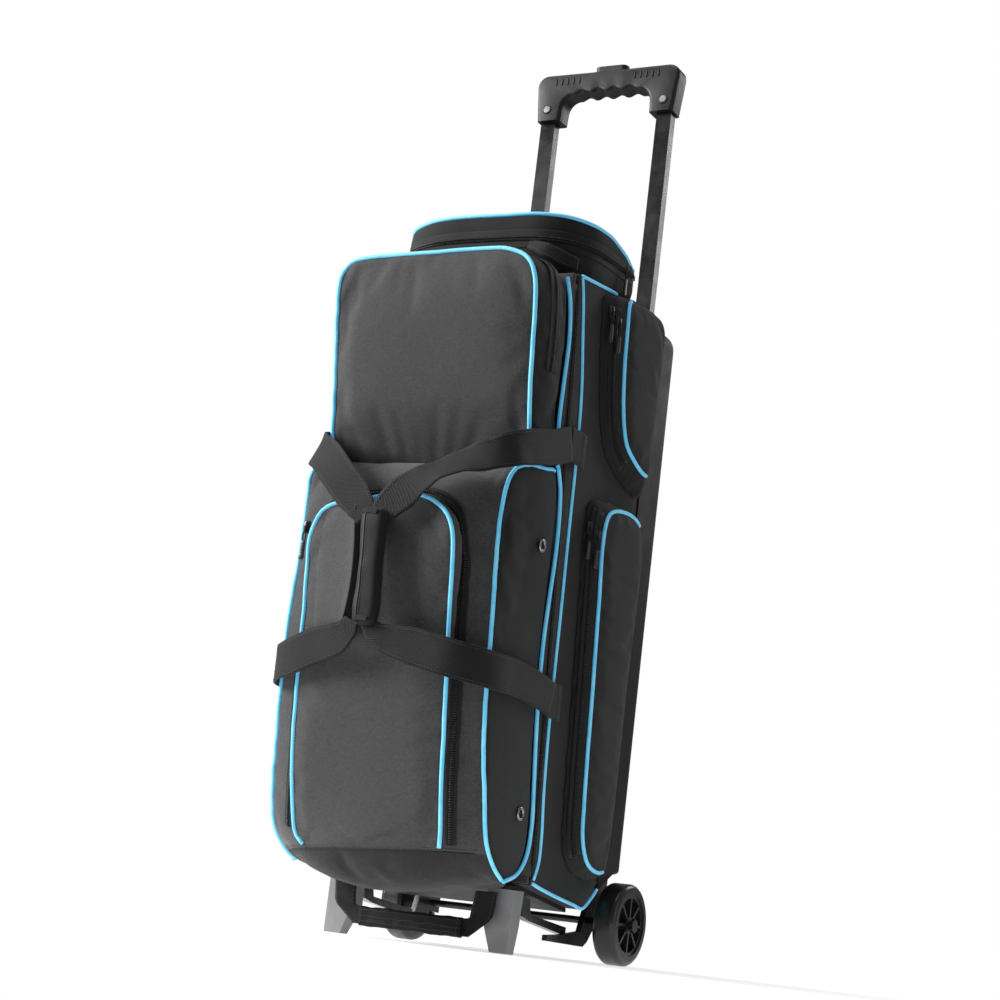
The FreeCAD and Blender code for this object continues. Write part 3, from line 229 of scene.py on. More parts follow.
HUB = moulded("hub", (0.013, 0.013, 0.014), 0.32, 0.08, 800.0, coat=0.25)
FOOT = moulded("foot_plastic", (0.23, 0.23, 0.235), 0.44, 0.12, 700.0)
BRACKET = moulded("bracket_steel", (0.010, 0.010, 0.011), 0.22, 0.04, 500.0, metal=0.3, coat=0.5)
RING = moulded("grommet_metal", (0.30, 0.30, 0.31), 0.26, 0.02, 1500.0, metal=1.0)
MESH = cloth("grommet_mesh", (0.003, 0.003, 0.003), (0.03, 0.03, 0.032), 0.9, 0.0, 0.7, 0.9)
FOAM = foam_material()


# ---------------------------------------------------------------- curves

def vec(*values):
    return Vector(values)


def smooth(points, count, closed=False):
    """Points evenly spaced along a smooth curve through the given points."""
    points = [Vector(point) for point in points]
    total = len(points)
    dense = []
    spans = total if closed else total - 1
    for index in range(spans):
        if closed:
            a, b, c, d = (points[(index + step) % total] for step in (-1, 0, 1, 2))
        else:
            b, c = points[index], points[index + 1]
            a = points[index - 1] if index else b + (b - c)
            d = points[index + 2] if index + 2 < total else c + (c - b)
        span_ab = max((b - a).length, 1e-6) ** 0.5
        span_bc = max((c - b).length, 1e-6) ** 0.5
        span_cd = max((d - c).length, 1e-6) ** 0.5
        lead = (c - b) + span_bc * ((b - a) / span_ab - (c - a) / (span_ab + span_bc))
        tail = (c - b) + span_bc * ((d - c) / span_cd - (d - b) / (span_bc + span_cd))
        for step in range(16):
            t = step / 16
            dense.append(b * (2 * t ** 3 - 3 * t ** 2 + 1) + c * (3 * t ** 2 - 2 * t ** 3)
                         + lead * (t ** 3 - 2 * t ** 2 + t) + tail * (t ** 3 - t ** 2))
    dense.append(points[0] if closed else points[-1])
    return spaced(dense, count, closed)


def spaced(line, count, closed=False):
    """The same line with count evenly spaced points; a closed line doesn't repeat its first point."""
    reach = reaches(line)
    pieces = count if closed else count - 1
    out, spot = [], 0
    for index in range(count):
        goal = reach[-1] * index / pieces
        while spot < len(line) - 2 and reach[spot + 1] < goal:
            spot += 1
        gap = reach[spot + 1] - reach[spot]
        out.append(line[spot].lerp(line[spot + 1], (goal - reach[spot]) / gap if gap > 1e-9 else 0.0))
    return out


def reaches(line):
    """How far along a line each of its points is."""
    return [0.0, *accumulate((b - a).length for a, b in zip(line, line[1:]))]


def read_off(table, place):
    """The amount at a place, on straight lines between (place, amount) pairs in rising order."""
    for (a, low), (b, high) in zip(table, table[1:]):
        if a < b and a <= place <= b:
            return low + (high - low) * (place - a) / (b - a)
    return table[0][1] if place < table[0][0] else table[-1][1]


def turns(count):
    """Evenly spaced angles round a circle."""
    return [2 * math.pi * k / count for k in range(count)]


def circle(centre, radius, count, first, second):
    return [centre + first * (radius * math.cos(turn)) + second * (radius * math.sin(turn))
            for turn in turns(count)]


def oval(centre, wide, deep, count, square_x, square_y):
    """A level ring whose sides are flatter than an ellipse's."""
    def bent(value, power):
        return math.copysign(abs(value) ** power, value)

    return [centre + vec(wide * bent(math.cos(turn), square_x), deep * bent(math.sin(turn), square_y), 0)
            for turn in turns(count)]


def at_x(x, pairs):
    """Points on a plane of constant x, from (y, z) pairs."""
    return [vec(x, y, z) for y, z in pairs]


def open_run(rim, wanted):
    """The indices of a closed rim's wanted points, in order from one end of their run to the other."""
    kept = [k for k, point in enumerate(rim) if wanted(point)]
    turn = next((i for i in range(len(kept)) if kept[i] - kept[i - 1] > 1), 0)
    return kept[turn:] + kept[:turn]


def flipped(points, side):
    return [vec(point.x * side, point.y, point.z) for point in points]


def seam_y(z):
    """The plane where the door meets the body leans forward as it rises."""
    return -24 - 50 * (z - 72) / 647


def tangents(line, closed=False):
    total = len(line)
    out = []
    for index in range(total):
        if closed:
            ahead, behind = line[(index + 1) % total], line[index - 1]
        else:
            ahead, behind = line[min(index + 1, total - 1)], line[max(index - 1, 0)]
        out.append((ahead - behind).normalized())
    return out


# ---------------------------------------------------------------- mesh making

class Shape:
    """Collects surfaces in mm, then becomes one object."""

    def __init__(self):
        self.verts, self.faces, self.slots, self.uvs = [], [], [], []

    def add(self, points):
        start = len(self.verts)
        self.verts.extend(points)
        return range(start, start + len(points))

    def face(self, corners, slot=0, uv=None):
        self.faces.append(tuple(corners))
        self.slots.append(slot)
        self.uvs.append(uv or [(0.0, 0.0)] * len(corners))

    def grid(self, rows, slot=0, round_rows=False, round_cols=False, flip=False, uv=None):
        """Quads over rows of points. uv gives each point its own place, in metres."""
        ids = [self.add(row) for row in rows]
        high, wide = len(rows), len(rows[0])
        for r in range(high if round_cols else high - 1):
            for c in range(wide if round_rows else wide - 1):
                spots = [(r, c), (r, c + 1), (r + 1, c + 1), (r + 1, c)]
                if flip:
                    spots.reverse()
                self.face([ids[i % high][j % wide] for i, j in spots], slot, uv and [uv(i, j) for i, j in spots])
        return ids

    def loft(self, rings, slot=0, uv=None):
        """A closed form through rings, with a lid at each end."""
        ids = self.grid(rings, slot, round_rows=True, uv=uv)
        self.face(ids[0][::-1], slot)
        self.face(ids[-1], slot)

    def slab(self, front, back, slot=0, back_slot=0, ends=True):
        """Two sheets of points, joined round their edges."""
        self.grid(front, slot)
        self.grid(back, back_slot, flip=True)
        for side in (0, -1):
            self.grid([[row[side] for row in front], [row[side] for row in back]], back_slot)
        if ends:
            self.grid([front[0], back[0]], back_slot)
            self.grid([front[-1], back[-1]], back_slot)

    def tube(self, line, radius, slot=0, closed=False, sides=8, flat=1.0, up=None):
        """A cord along a line. A radius may be a number or one per point."""
        ways = tangents(line, closed)
        sizes = radius if isinstance(radius, list) else [radius] * len(line)
        side = ways[0].cross(up or vec(0.31, 0.42, 0.85)).normalized()
        rows = []
        for point, way, size in zip(line, ways, sizes):
            side = (side - way * side.dot(way)).normalized()
            rows.append(circle(point, size, sides, side, side.cross(way).normalized() * flat))
        if closed:
            self.grid(rows, slot, round_rows=True, round_cols=True)
        else:
            self.loft(rows, slot)

    def ribbon(self, line, outward, width, thick):
        """Flat webbing along a line. outward is the way its face looks, one per point."""
        widths = width if isinstance(width, list) else [width] * len(line)
        steps = (-1.0, -0.97, -0.7, -0.35, 0.0, 0.35, 0.7, 0.97, 1.0)
        rows, reach = [], reaches(line)
        for point, way, out, wide in zip(line, tangents(line), outward, widths):
            across = way.cross(out).normalized()
            out = across.cross(way).normalized()
            top, under = [], []
            for share in steps:
                lift = out * ((0.35 if abs(share) == 1.0 else 1.0) * thick / 2)
                base = point + across * (share * wide / 2)
                top.append(base + lift)
                under.append(base - lift)
            rows.append(top + under[::-1])
        spread = [(share + 1) / 2 for share in steps + steps[::-1]]
        self.loft(rows, uv=lambda i, j: (spread[j % len(spread)] * widths[i] * MM, reach[i] * MM))

    def stitches(self, line, outward, slot=0, pitch=3.4, long=2.1, thick=0.55):
        """Small chamfered bricks of thread, one after another."""
        for spot, way, across, rise in paces(line, outward, pitch, 2):
            self.loft([[spot + rise * (depth * thick / 2) + way * (i * long / 2 * size)
                        + across * (j * thick / 2 * size) for i, j in ((-1, -1), (1, -1), (1, 1), (-1, 1))]
                       for depth, size in ((-1, 0.7), (-0.6, 1.0), (0.6, 1.0), (1, 0.7))], slot)

    def teeth(self, line, outward, wide, pitch, slot):
        """A closed coil zipper: one small arched tooth after another."""
        for spot, way, across, rise in paces(line, outward, pitch, 3):
            rows = []
            for share, lift in ((-0.5, 0.0), (-0.36, 0.75), (0.0, 1.0), (0.36, 0.75), (0.5, 0.0)):
                middle = spot + across * (share * wide) + rise * lift
                rows.append([middle + way * 0.8, middle + rise * 0.7, middle - way * 0.8, middle - rise * 0.7])
            self.loft(rows, slot)

    def zipper(self, line, outward, tape, thick, rise, wide):
        """A tape along a line, with the closed coil raised on it."""
        self.ribbon(line, outward, tape, thick)
        self.teeth([point + out * rise for point, out in zip(line, outward)], outward, wide, 2.4, 1)

    def build(self, name, materials, weld=0.0):
        mesh = bpy.data.meshes.new(name)
        mesh.from_pydata([point * MM for point in self.verts], [], self.faces)
        spots = [number for face in self.uvs for place in face for number in place]
        mesh.uv_layers.new(name="along").data.foreach_set("uv", spots)
        for material in materials:
            mesh.materials.append(material)
        mesh.polygons.foreach_set("material_index", self.slots)
        mesh.polygons.foreach_set("use_smooth", [True] * len(self.faces))
        made = bpy.data.objects.new(name, mesh)
        bpy.context.scene.collection.objects.link(made)
        if weld:
            bake(made, "WELD", merge_threshold=weld * MM)
        return made

    def solid(self, name, materials, weld=0.0):
        """As build, and then every face is turned outward."""
        made = self.build(name, materials, weld)
        edit(made, lambda work: bmesh.ops.recalc_face_normals(work, faces=work.faces))
        return made


def paces(line, outward, pitch, least):
    """Evenly spaced (spot, way along, way across, way out) along a line."""
    total = max(int(reaches(line)[-1] / pitch), least)
    spots = spaced(line, total)
    outs = spread_along(outward, total) if isinstance(outward, list) else [outward] * total
    for spot, way, out in zip(spots, tangents(spots), outs):
        across = way.cross(out).normalized()
        yield spot, way, across, across.cross(way).normalized()


def spread_along(vectors, count):
    """Directions for count points, eased between the given ones."""
    out = []
    for index in range(count):
        place = index / (count - 1) * (len(vectors) - 1)
        low = min(int(place), len(vectors) - 2)
        out.append(vectors[low].lerp(vectors[low + 1], place - low).normalized())
    return out


def bake(made, kind, **settings):
    """Adds a modifier and applies it at once."""
    modifier = made.modifiers.new("step", kind)
    for key, value in settings.items():
        setattr(modifier, key, value)
    graph = bpy.context.evaluated_depsgraph_get()
    graph.update()
    mesh = bpy.data.meshes.new_from_object(made.evaluated_get(graph))
    made.modifiers.clear()
    old = made.data
    mesh.name = old.name
    made.data = mesh
    bpy.data.meshes.remove(old)


def edit(made, change):
    """Runs a bmesh change on a piece's mesh."""
    work = bmesh.new()
    work.from_mesh(made.data)
    change(work)
    work.to_mesh(made.data)
    work.free()


def rounded(made, size, scale, seed):
    """Smooths a padded piece and gives it small uneven swells, so that no side is dead flat."""
    bake(made, "SUBSURF", levels=1, render_levels=1)
    ripple(made, size, scale, seed)
    return made


def place(made, body, slot, *nodes):
    """Rides a finished piece on its body and lets it stand for CAD nodes."""
    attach(made, body)
    if nodes:
        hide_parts(*nodes)
    return made


def hug(line, made, lift):
    """The same line laid on a piece's surface, raised a little off it and eased."""
    out = []
    for point in line:
        _, spot, normal, _ = made.closest_point_on_mesh(point * MM)
        out.append(spot / MM + normal * lift)
    return [out[0]] + [(a + b * 2 + c) / 4 for a, b, c in zip(out, out[1:], out[2:])] + [out[-1]]


# ---------------------------------------------------------------- soft forms

def level(spot, rim, flat, up):
    """The rim's height carried in to a point by mean-value weights, so that no hip lines show."""
    ways = [(point[flat[0]] - spot[flat[0]], point[flat[1]] - spot[flat[1]]) for point in rim]
    reach = [math.hypot(*way) for way in ways]
    tans = []
    for (ax, az), (bx, bz), a, b in zip(ways, ways[1:] + ways[:1], reach, reach[1:] + reach[:1]):
        turn = ax * bz - az * bx
        tans.append((a * b - ax * bx - az * bz) / (turn if abs(turn) > 1e-9 else 1e-9))
    weights = [(tans[k - 1] + tans[k]) / reach[k] for k in range(len(rim))]
    return sum(weight * point[up] for weight, point in zip(weights, rim)) / sum(weights)


def rings(rim, bulge, count, centre):
    """Rings from a closed rim in to its middle, crowned along bulge like a filled panel."""
    middle = centre or sum(rim, Vector()) / len(rim)
    flat = [k for k in range(3) if abs(bulge[k]) < 1e-6][:2] if bulge.length else (0, 2)
    up = 3 - sum(flat)
    even = bulge.length > 0 and centre is None
    if even:
        middle[up] = level(middle, rim, flat, up)
    spans = [(min(p[k] for p in rim), max(p[k] for p in rim)) for k in flat]
    out = []
    for index in range(count):
        share = 1 - index / count
        row = []
        for point in rim:
            spot = middle.lerp(point, share)
            if even and index:
                spot[up] = level(spot, rim, flat, up)
            rise = 1 - share ** 8
            for k, (low, high) in zip(flat, spans):
                across = min(abs(2 * (spot[k] - low) / (high - low) - 1), 1.0)
                rise *= 1 - across ** 2.4
            row.append(spot + bulge * rise)
        out.append(row)
    return out, middle + bulge


def fill(shape, rim, bulge=Vector(), slot=0, flip=False, count=9, centre=None):
    """Closes a rim with a panel, crowned by bulge."""
    rows, top = rings(rim, bulge, count, centre)
    last = shape.grid(rows, slot, round_rows=True, flip=flip)[-1]
    middle = shape.add([top])[0]
    for k, corner in enumerate(last):
        corners = [corner, last[(k + 1) % len(last)], middle]
        shape.face(corners[::-1] if flip else corners, slot)


def between(first, second, count, swell=None):
    """Rows from one line to another; swell(row share, index) pushes them out between."""
    rows = [[a.lerp(b, index / count) for a, b in zip(first, second)] for index in range(count + 1)]
    if swell:
        rows = [[point + swell(index / count, k) for k, point in enumerate(row)] for index, row in enumerate(rows)]
    return rows


def away(rim, amount, axis):
    """For each rim point, the way out from the rim's middle, square to one axis."""
    middle = sum(rim, Vector()) / len(rim)
    out = []
    for point in rim:
        way = point - middle
        way[axis] = 0
        out.append(way.normalized() * amount)
    return out


# By default a pocket's face gets the painted-light copy of the cloth and its gusset the painted-shade copy.
def pillow(name, rim, base, bulge, gusset, axis=1, swell=Vector(), materials=(CLOTH_PAINTED_LIT, CLOTH_PAINTED_SHADE), steps=8, side=RIGHT):
    """A closed pocket: a crowned face inside the rim, a gusset back to the base, and a flat back."""
    shape = Shape()
    fill(shape, rim, bulge)
    push = [way + swell for way in away(rim, gusset, axis)]
    shape.grid(between(rim, base, steps, lambda share, k: push[k] * math.sin(math.pi * share)), 1,
               round_rows=True, flip=True)
    fill(shape, base, slot=1, flip=True)
    shape.verts = flipped(shape.verts, side)
    return shape.solid(name, materials, weld=0.05)


def search(points):
    """A tree that finds the nearest of these points."""
    tree = KDTree(len(points))
    for index, point in enumerate(points):
        tree.insert(point, index)
    tree.balance()
    return tree


CLOTH_FRAMES = 20
CLOTH = dict(quality=5, mass=0.25, tension_stiffness=14, compression_stiffness=14, shear_stiffness=6,
             bending_stiffness=0.6, use_pressure=True, shrink_min=-0.015, vertex_group_mass="held")


def inflate(made, pins, voxel, cap, pressure, hold, reach):
    """Fills a closed form with air as cloth, held at its seams, then smooths it once."""
    old = made.data
    regions = search([face.center for face in old.polygons])
    slots, materials = [face.material_index for face in old.polygons], list(old.materials)
    bake(made, "REMESH", mode="VOXEL", voxel_size=voxel * MM, use_smooth_shade=True)
    mesh = made.data
    rest = [vertex.co.copy() for vertex in mesh.vertices]
    seams = search([point * MM for point in pins])
    group = made.vertex_groups.new(name="held")
    group.add([index for index, co in enumerate(rest)
               if seams.find(co)[2] / MM < reach or (hold and hold(co / MM))], 1.0, "REPLACE")
    modifier = made.modifiers.new("cloth", "CLOTH")
    for key, value in dict(CLOTH, uniform_pressure_force=pressure).items():
        setattr(modifier.settings, key, value)
    modifier.settings.effector_weights.gravity = 0.0
    modifier.collision_settings.use_collision = False
    modifier.point_cache.frame_start, modifier.point_cache.frame_end = 1, CLOTH_FRAMES
    for step in range(1, CLOTH_FRAMES + 1):
        bpy.context.scene.frame_set(step)
    graph = bpy.context.evaluated_depsgraph_get()
    moved = [vertex.co.copy() for vertex in made.evaluated_get(graph).data.vertices]
    made.modifiers.clear()
    made.vertex_groups.clear()
    for vertex, start, end in zip(mesh.vertices, rest, moved):
        shift = end - start
        if shift.length > cap * MM:
            shift = shift.normalized() * (cap * MM)
        vertex.co = start + shift
    bpy.context.scene.frame_set(1)
    bake(made, "SMOOTH", factor=0.5, iterations=3)
    bake(made, "SUBSURF", levels=1, render_levels=1)
    mesh = made.data
    mesh.materials.clear()
    for material in materials:
        mesh.materials.append(material)
    if len(set(slots)) > 1:
        for face in mesh.polygons:
            face.material_index = slots[regions.find(face.center)[1]]
    mesh.polygons.foreach_set("use_smooth", [True] * len(mesh.polygons))


def ripple(made, size, scale, seed):
    """Small uneven swells, so that no panel is dead flat."""
    for vertex in made.data.vertices:
        lift = noise.noise(vertex.co * scale + Vector((seed,) * 3))
        vertex.co = vertex.co + vertex.normal * (lift * size * MM)


# ---------------------------------------------------------------- the door's lines

DOOR_EDGE_UPPER = [(-100, 706), (-88, 684), (-80, 645), (-81, 590), (-81, 548), (-74, 514), (-72, 504)]
DOOR_EDGE_LOWER = [(-72, 504), (-62, 482), (-57, 450), (-56, 415), (-59, 365), (-61, 325), (-59, 275),
                   (-53, 222), (-45, 170), (-40, 130), (-44, 100), (-60, 81), (-88, 71)]
LOWER_CORNER = [(126, -72, 504), (126, -100, 500), (125.5, -128, 496), (124, -150, 488), (121.5, -164, 472),
                (119.5, -168, 445), (119.3, -168, 400), (121, -167, 350), (123, -165.5, 300),
                (124, -163, 250), (125, -157, 200), (127, -147, 150), (128, -134, 106), (127, -112, 84),
                (126, -88, 71)]
LOWER_MIDDLE = [(-64, 486), (-100, 488), (-140, 488), (-168, 480), (-183, 458), (-188, 425), (-187, 390),
                (-183, 330), (-177, 260), (-171, 200), (-164, 135), (-156, 92), (-147, 68), (-128, 55),
                (-100, 51), (-68, 60)]


def lower_front(z):
    """How far forward the lower pocket's middle is at a height."""
    return read_off([(point[1], point[0]) for point in LOWER_MIDDLE[12:3:-1]], z)


LOW_SEAM_HEIGHT, LOW_SEAM_SLOPE = 86.5, 0.0635


def low_seam_z(x):
    """The height of the seam between the lower pocket's front and its bottom panel."""
    return LOW_SEAM_HEIGHT + LOW_SEAM_SLOPE * x


def seen_from_front(made, x, z, lift):
    """The point of a piece that faces the front at x and z, raised a little."""
    _, spot, normal, _ = made.ray_cast(vec(x, -300, z) * MM, Vector((0, 1, 0)))
    return spot / MM + normal * lift


def make_lower_pocket():
    count, columns = 64, 14
    low_y, high_y = seam_y(74) - 8, seam_y(486) - 8
    middle_front = smooth(at_x(0, LOWER_MIDDLE), count)
    middle_rear = spaced(at_x(0, [(high_y, 486), (low_y, 62)]), count)
    shares = [math.sin(math.pi / 2 * k / columns) for k in range(-columns, columns + 1)]

    def edges(steps):
        return smooth(LOWER_CORNER, steps), smooth(at_x(126, DOOR_EDGE_LOWER), steps)

    def section(middle, edge, power):
        return [[vec(share * e.x, m.y + (e.y - m.y) * abs(share) ** power, m.z + (e.z - m.z) * abs(share) ** power)
                 for m, e in zip(middle, edge)] for share in shares]

    edge_front, edge_rear = edges(count)
    shape = Shape()
    shape.slab(section(middle_front, edge_front, 2.6), section(middle_rear, edge_rear, 8), 0, 1, ends=False)
    pins = []
    for side, _ in SIDES:
        def swell(share, k):
            tall = math.sin(math.pi * k / (count - 1))
            return vec(side * 2.2 * math.sin(math.pi * share) * max(tall, 0.0) ** 0.5, 0, 0)

        first, second = flipped(edge_front, side), flipped(edge_rear, side)
        shape.grid(between(first, second, 8, swell), 1, flip=side == RIGHT)
        for edge in edges(160):
            pins += flipped(edge, side)
    made = shape.solid("lower_pocket_cloth", [CLOTH_PAINTED_LIT, CLOTH_PAINTED_SHADE, BOTTOM_PAINTED_SHADE], weld=0.4)

    def hold(point):
        return point.y > seam_y(point.z) - 14 or abs(point.x) > 124.5 or (point.z < 68 and point.y > -68)

    inflate(made, pins, 5.5, 6.0, 4.0, hold, 5.0)
    edit(made, lambda work: bmesh.ops.bisect_plane(
        work, geom=work.verts[:] + work.edges[:] + work.faces[:], plane_co=vec(0, 0, low_seam_z(0)) * MM,
        plane_no=(-LOW_SEAM_SLOPE, 0, 1)))
    # Faces under the seam take the bottom cloth, painted darker as shade because they face down.
    for face in made.data.polygons:
        spot = face.center / MM
        if face.material_index == 0 and spot.z < low_seam_z(spot.x):
            face.material_index = 2
    place(made, "door", "cloth_front", "lower_pocket")
    return made


UPPER_RIM = [
    (0, -119, 490), (60, -119, 491), (104, -122, 493), (118, -127, 501), (121, -133, 522), (121, -141, 560),
    (121, -146, 596), (121, -151, 642), (121, -156, 674), (119, -160, 694), (110, -159, 709),
    (98, -158, 717), (74, -158, 723), (37, -158, 724), (0, -159, 722), (-52, -159, 721),
    (-100, -158, 719), (-114, -158, 714), (-120, -160, 703), (-121, -162, 686), (-121, -158, 654),
    (-121, -151, 619), (-121, -144, 583), (-121, -137, 540), (-120, -131, 508), (-112, -123, 494),
    (-60, -119, 491),
]
UPPER_BASE = [
    (0, -70, 491), (60, -70, 492), (104, -70, 494), (120, -72, 504), (124, -76, 522), (124.5, -81, 560),
    (124.5, -81, 596), (124.5, -80, 642), (124, -84, 676), (123, -88, 696), (118, -84, 708),
    (104, -80, 715), (74, -80, 718), (37, -80, 719), (0, -80, 719), (-52, -80, 719),
    (-104, -80, 716), (-118, -84, 710), (-123, -88, 698), (-124, -86, 684), (-124.5, -80, 654),
    (-124.5, -80, 619), (-124.5, -81, 583), (-124.5, -78, 540), (-122, -74, 512), (-112, -70, 496),
    (-60, -70, 492),
]


def make_upper_pocket():
    rim, base = smooth(UPPER_RIM, 132, closed=True), smooth(UPPER_BASE, 132, closed=True)
    made = pillow("upper_pocket_cloth", rim, base, vec(0, -9, 0), 1.5)
    inflate(made, rim + base, 5.0, 6.5, 4.0, lambda point: point.y > -84, 4.5)
    place(made, "door", "cloth_front", "upper_pocket")
    return made, rim, base


FLAP_RIM = [
    (0, -161, 90), (50, -158, 92), (82, -153.5, 93), (88, -152.5, 94), (88.5, -155, 100), (88, -166, 152),
    (88, -177, 220), (88, -186, 279), (88, -195, 337), (88, -201, 385), (85, -203, 408), (75, -203, 427),
    (54, -202, 441), (37, -202, 445), (0, -203, 442), (-40, -203, 437), (-66, -203, 432),
    (-80, -203, 419), (-88, -200, 396), (-88, -193, 330), (-88, -187, 260), (-88, -180, 190),
    (-88, -168, 136), (-88.5, -154, 96), (-88, -151.5, 90), (-82, -152.5, 89), (-50, -157, 89),
]


def make_flap():
    rim = smooth(FLAP_RIM, 132, closed=True)
    base = []
    for point in rim:
        depth = min(lower_front(point.z) + 20 * (abs(point.x) / 120) ** 2.6 - 1.0, -40)
        base.append(vec(point.x * 1.005, max(depth, point.y + 3.5), point.z))
    made = pillow("arch_flap_cloth", rim, base, vec(0, -4.5, 0), 0.8, materials=(CLOTH_PAINTED_LIT, CLOTH_PAINTED_LIT))
    inflate(made, rim + base, 4.5, 4.0, 3.0, None, 4.5)
    place(made, "door", "cloth_front", "arch_flap")
    return made, rim


def make_door_panel():
    """The stiffened lining board that carries the door's pockets."""
    steps, half_steps = 26, 12
    rows = []
    for k in range(steps + 1):
        z = 73 + (718 - 73) * k / steps
        tall = math.sin(math.pi * k / steps)
        rows.append([vec(j / half_steps * 124,
                         seam_y(z) - 0.9 - 0.2 * math.cos(j / half_steps * math.pi * 4) * tall, z)
                     for j in range(-half_steps, half_steps + 1)])
    shape = Shape()
    shape.slab([[point + vec(0, -5.6, 0) for point in row] for row in rows], rows)
    made = shape.solid("door_lining", [LINING], weld=0.05)
    bake(made, "BEVEL", width=1.2 * MM, segments=2, limit_method="ANGLE")
    place(made, "door", "cloth_side", "door_panel")
    binding = Shape()
    for z_low, z_high in ((110, 400), (400, 690)):
        line = [vec(x, seam_y(z) - 0.7, z) for x, z in ((-96, z_low), (96, z_low), (96, z_high), (-96, z_high),
                                                        (-96, z_low))]
        for ends in zip(line, line[1:]):
            binding.stitches(spaced(ends, 12), vec(0, 1, 0))
    place(binding.build("door_lining_stitching", [THREAD]), "door", "cloth_side")


# ---------------------------------------------------------------- body

BODY_LOOP = [(-24, 72), (100, 55), (137.4, 75.7), (137.6, 80), (178, 98), (182.6, 103), (182.6, 700),
             (182.6, 721), (137.6, 721.6), (137.4, 735.6), (68, 735.6), (34, 728.8), (-74, 718.6)]
INNER_LOOP = [(-24, 76), (98, 58.5), (134, 80), (134, 87), (176, 105), (179.8, 112), (179.8, 698),
              (179.8, 717), (134, 717), (134, 732), (68, 732), (34, 725), (-60, 715.6)]


def stretch(pairs):
    """Straight runs split into short ones, keeping every corner."""
    longest = 22
    out = []
    for (y1, z1), (y2, z2) in zip(pairs, pairs[1:]):
        parts = max(int(math.hypot(y2 - y1, z2 - z1) / longest), 1)
        out += [(y1 + (y2 - y1) * k / parts, z1 + (z2 - z1) * k / parts) for k in range(parts)]
    return out + [pairs[-1]]


def make_body():
    outer = at_x(0, stretch(BODY_LOOP))
    total = len(outer)
    inner = spaced(at_x(0, INNER_LOOP), total)
    shape = Shape()
    for loop, front, steps, slot, half in (
            (outer, (BODY_LOOP[0], BODY_LOOP[-1]), 18, 0, lambda y: BODY_HALF if y < 137.5 else BODY_HALF - 3.7),
            (inner, ((-24, 76), (-74, 715)), 8, 1, lambda y: LINING_HALF)):
        shape.grid([[vec(k / 10 * half(point.y), point.y, point.z) for point in loop] for k in range(-10, 11)],
                   slot, flip=slot == 1)
        (y1, z1), (y2, z2) = front
        straight = [vec(0, y1 + (y2 - y1) * k / (total - 1), z1 + (z2 - z1) * k / (total - 1))
                    for k in range(total)]
        for side, _ in SIDES:
            shape.grid([[vec(side * half(point.y), point.y, point.z) for point in row]
                        for row in between(straight, loop, steps)], slot, flip=(side == LEFT) == (slot == 0))
    opening, lip = ([vec(x * wide, seam_y(z) + back, z) for x, z in ((1, low), (1, high), (-1, high), (-1, low))]
                    for wide, low, high, back in ((BODY_HALF, 72, 718.6, 0.0), (LINING_HALF, 76, 715.6, 0.3)))
    shape.grid([opening, lip], 0, round_rows=True)
    place(shape.solid("body_cloth", [CLOTH_PAINTED_SHADE, LINING], weld=0.3), "bag", "cloth_side", "body_shell")


def seam_tape(tape, side, edge, gap, under_x, tuck, coil_gap):
    """Half of the door's zipper: a folded tape from an edge to the seam, and its row of teeth."""
    seam = [vec(125.8, seam_y(point.z) + gap, point.z) for point in edge]
    inner, inner_seam = ([vec(under_x, point.y + shift, point.z) for point in line]
                         for line, shift in ((edge, tuck), (seam, 0)))
    outer = between(edge, seam, 4, lambda share, k: vec(0.7 * math.sin(math.pi * share), 0, 0))
    outer, under = ([flipped(row, side) for row in rows] for rows in (outer, between(inner, inner_seam, 4)))
    for rows in (outer, under, [outer[0], under[0]], [outer[-1], under[-1]]):
        tape.grid(rows)
    track = [vec(side * 126.9, seam_y(z) + coil_gap, z) for z in range(92, 708, 8)]
    tape.teeth(track, vec(side, 0, 0), 2.3, 2.3, 1)


BODY_EDGE = [(-66, 717), (-60, 700), (-50, 655), (-38, 595), (-33, 530), (-31, 450), (-28, 350), (-27, 290),
             (-25, 225), (-20, 165), (-14, 122), (-14, 96), (-21, 78)]
BODY_FLOOR = [(-21, 74), (0, 70), (40, 64), (80, 59), (103, 56.5), (122, 68), (135, 79)]
BODY_TOP = [(-64, 719.5), (-20, 724), (10, 727), (22, 727.5)]


def make_body_trim():
    cord, tape, thread = Shape(), Shape(), Shape()
    piping = smooth(at_x(126, BODY_EDGE), 120)
    for side, _ in SIDES:
        for x, line, count, radius in ((126.2, BODY_EDGE, 150, 2.1), (125.8, BODY_FLOOR, 60, 1.9),
                                       (125.4, BODY_TOP, 40, 1.9)):
            cord.tube(flipped(smooth(at_x(x, line), count), side), radius)
        seam_tape(tape, side, piping, 0.5, 125.0, 1, 1.9)
        run = [vec(side * 126.6, point.y - 4.2, point.z) for point in piping[4:-6]]
        tape.stitches(run, vec(side, 0, 0), 2)
        line = flipped(smooth(at_x(125.4, [(y + 5, z) for y, z in BODY_EDGE]), 120), side)
        thread.stitches(line, vec(side, 0, 0))
    place(cord.build("body_cord", [PIPING]), "bag", "piping", "body_piping")
    place(tape.solid("body_tape", [TAPE, COIL, THREAD]), "bag", "zipper", "body_zipper_tape")
    place(thread.build("body_stitching", [THREAD]), "bag", "cloth_side")


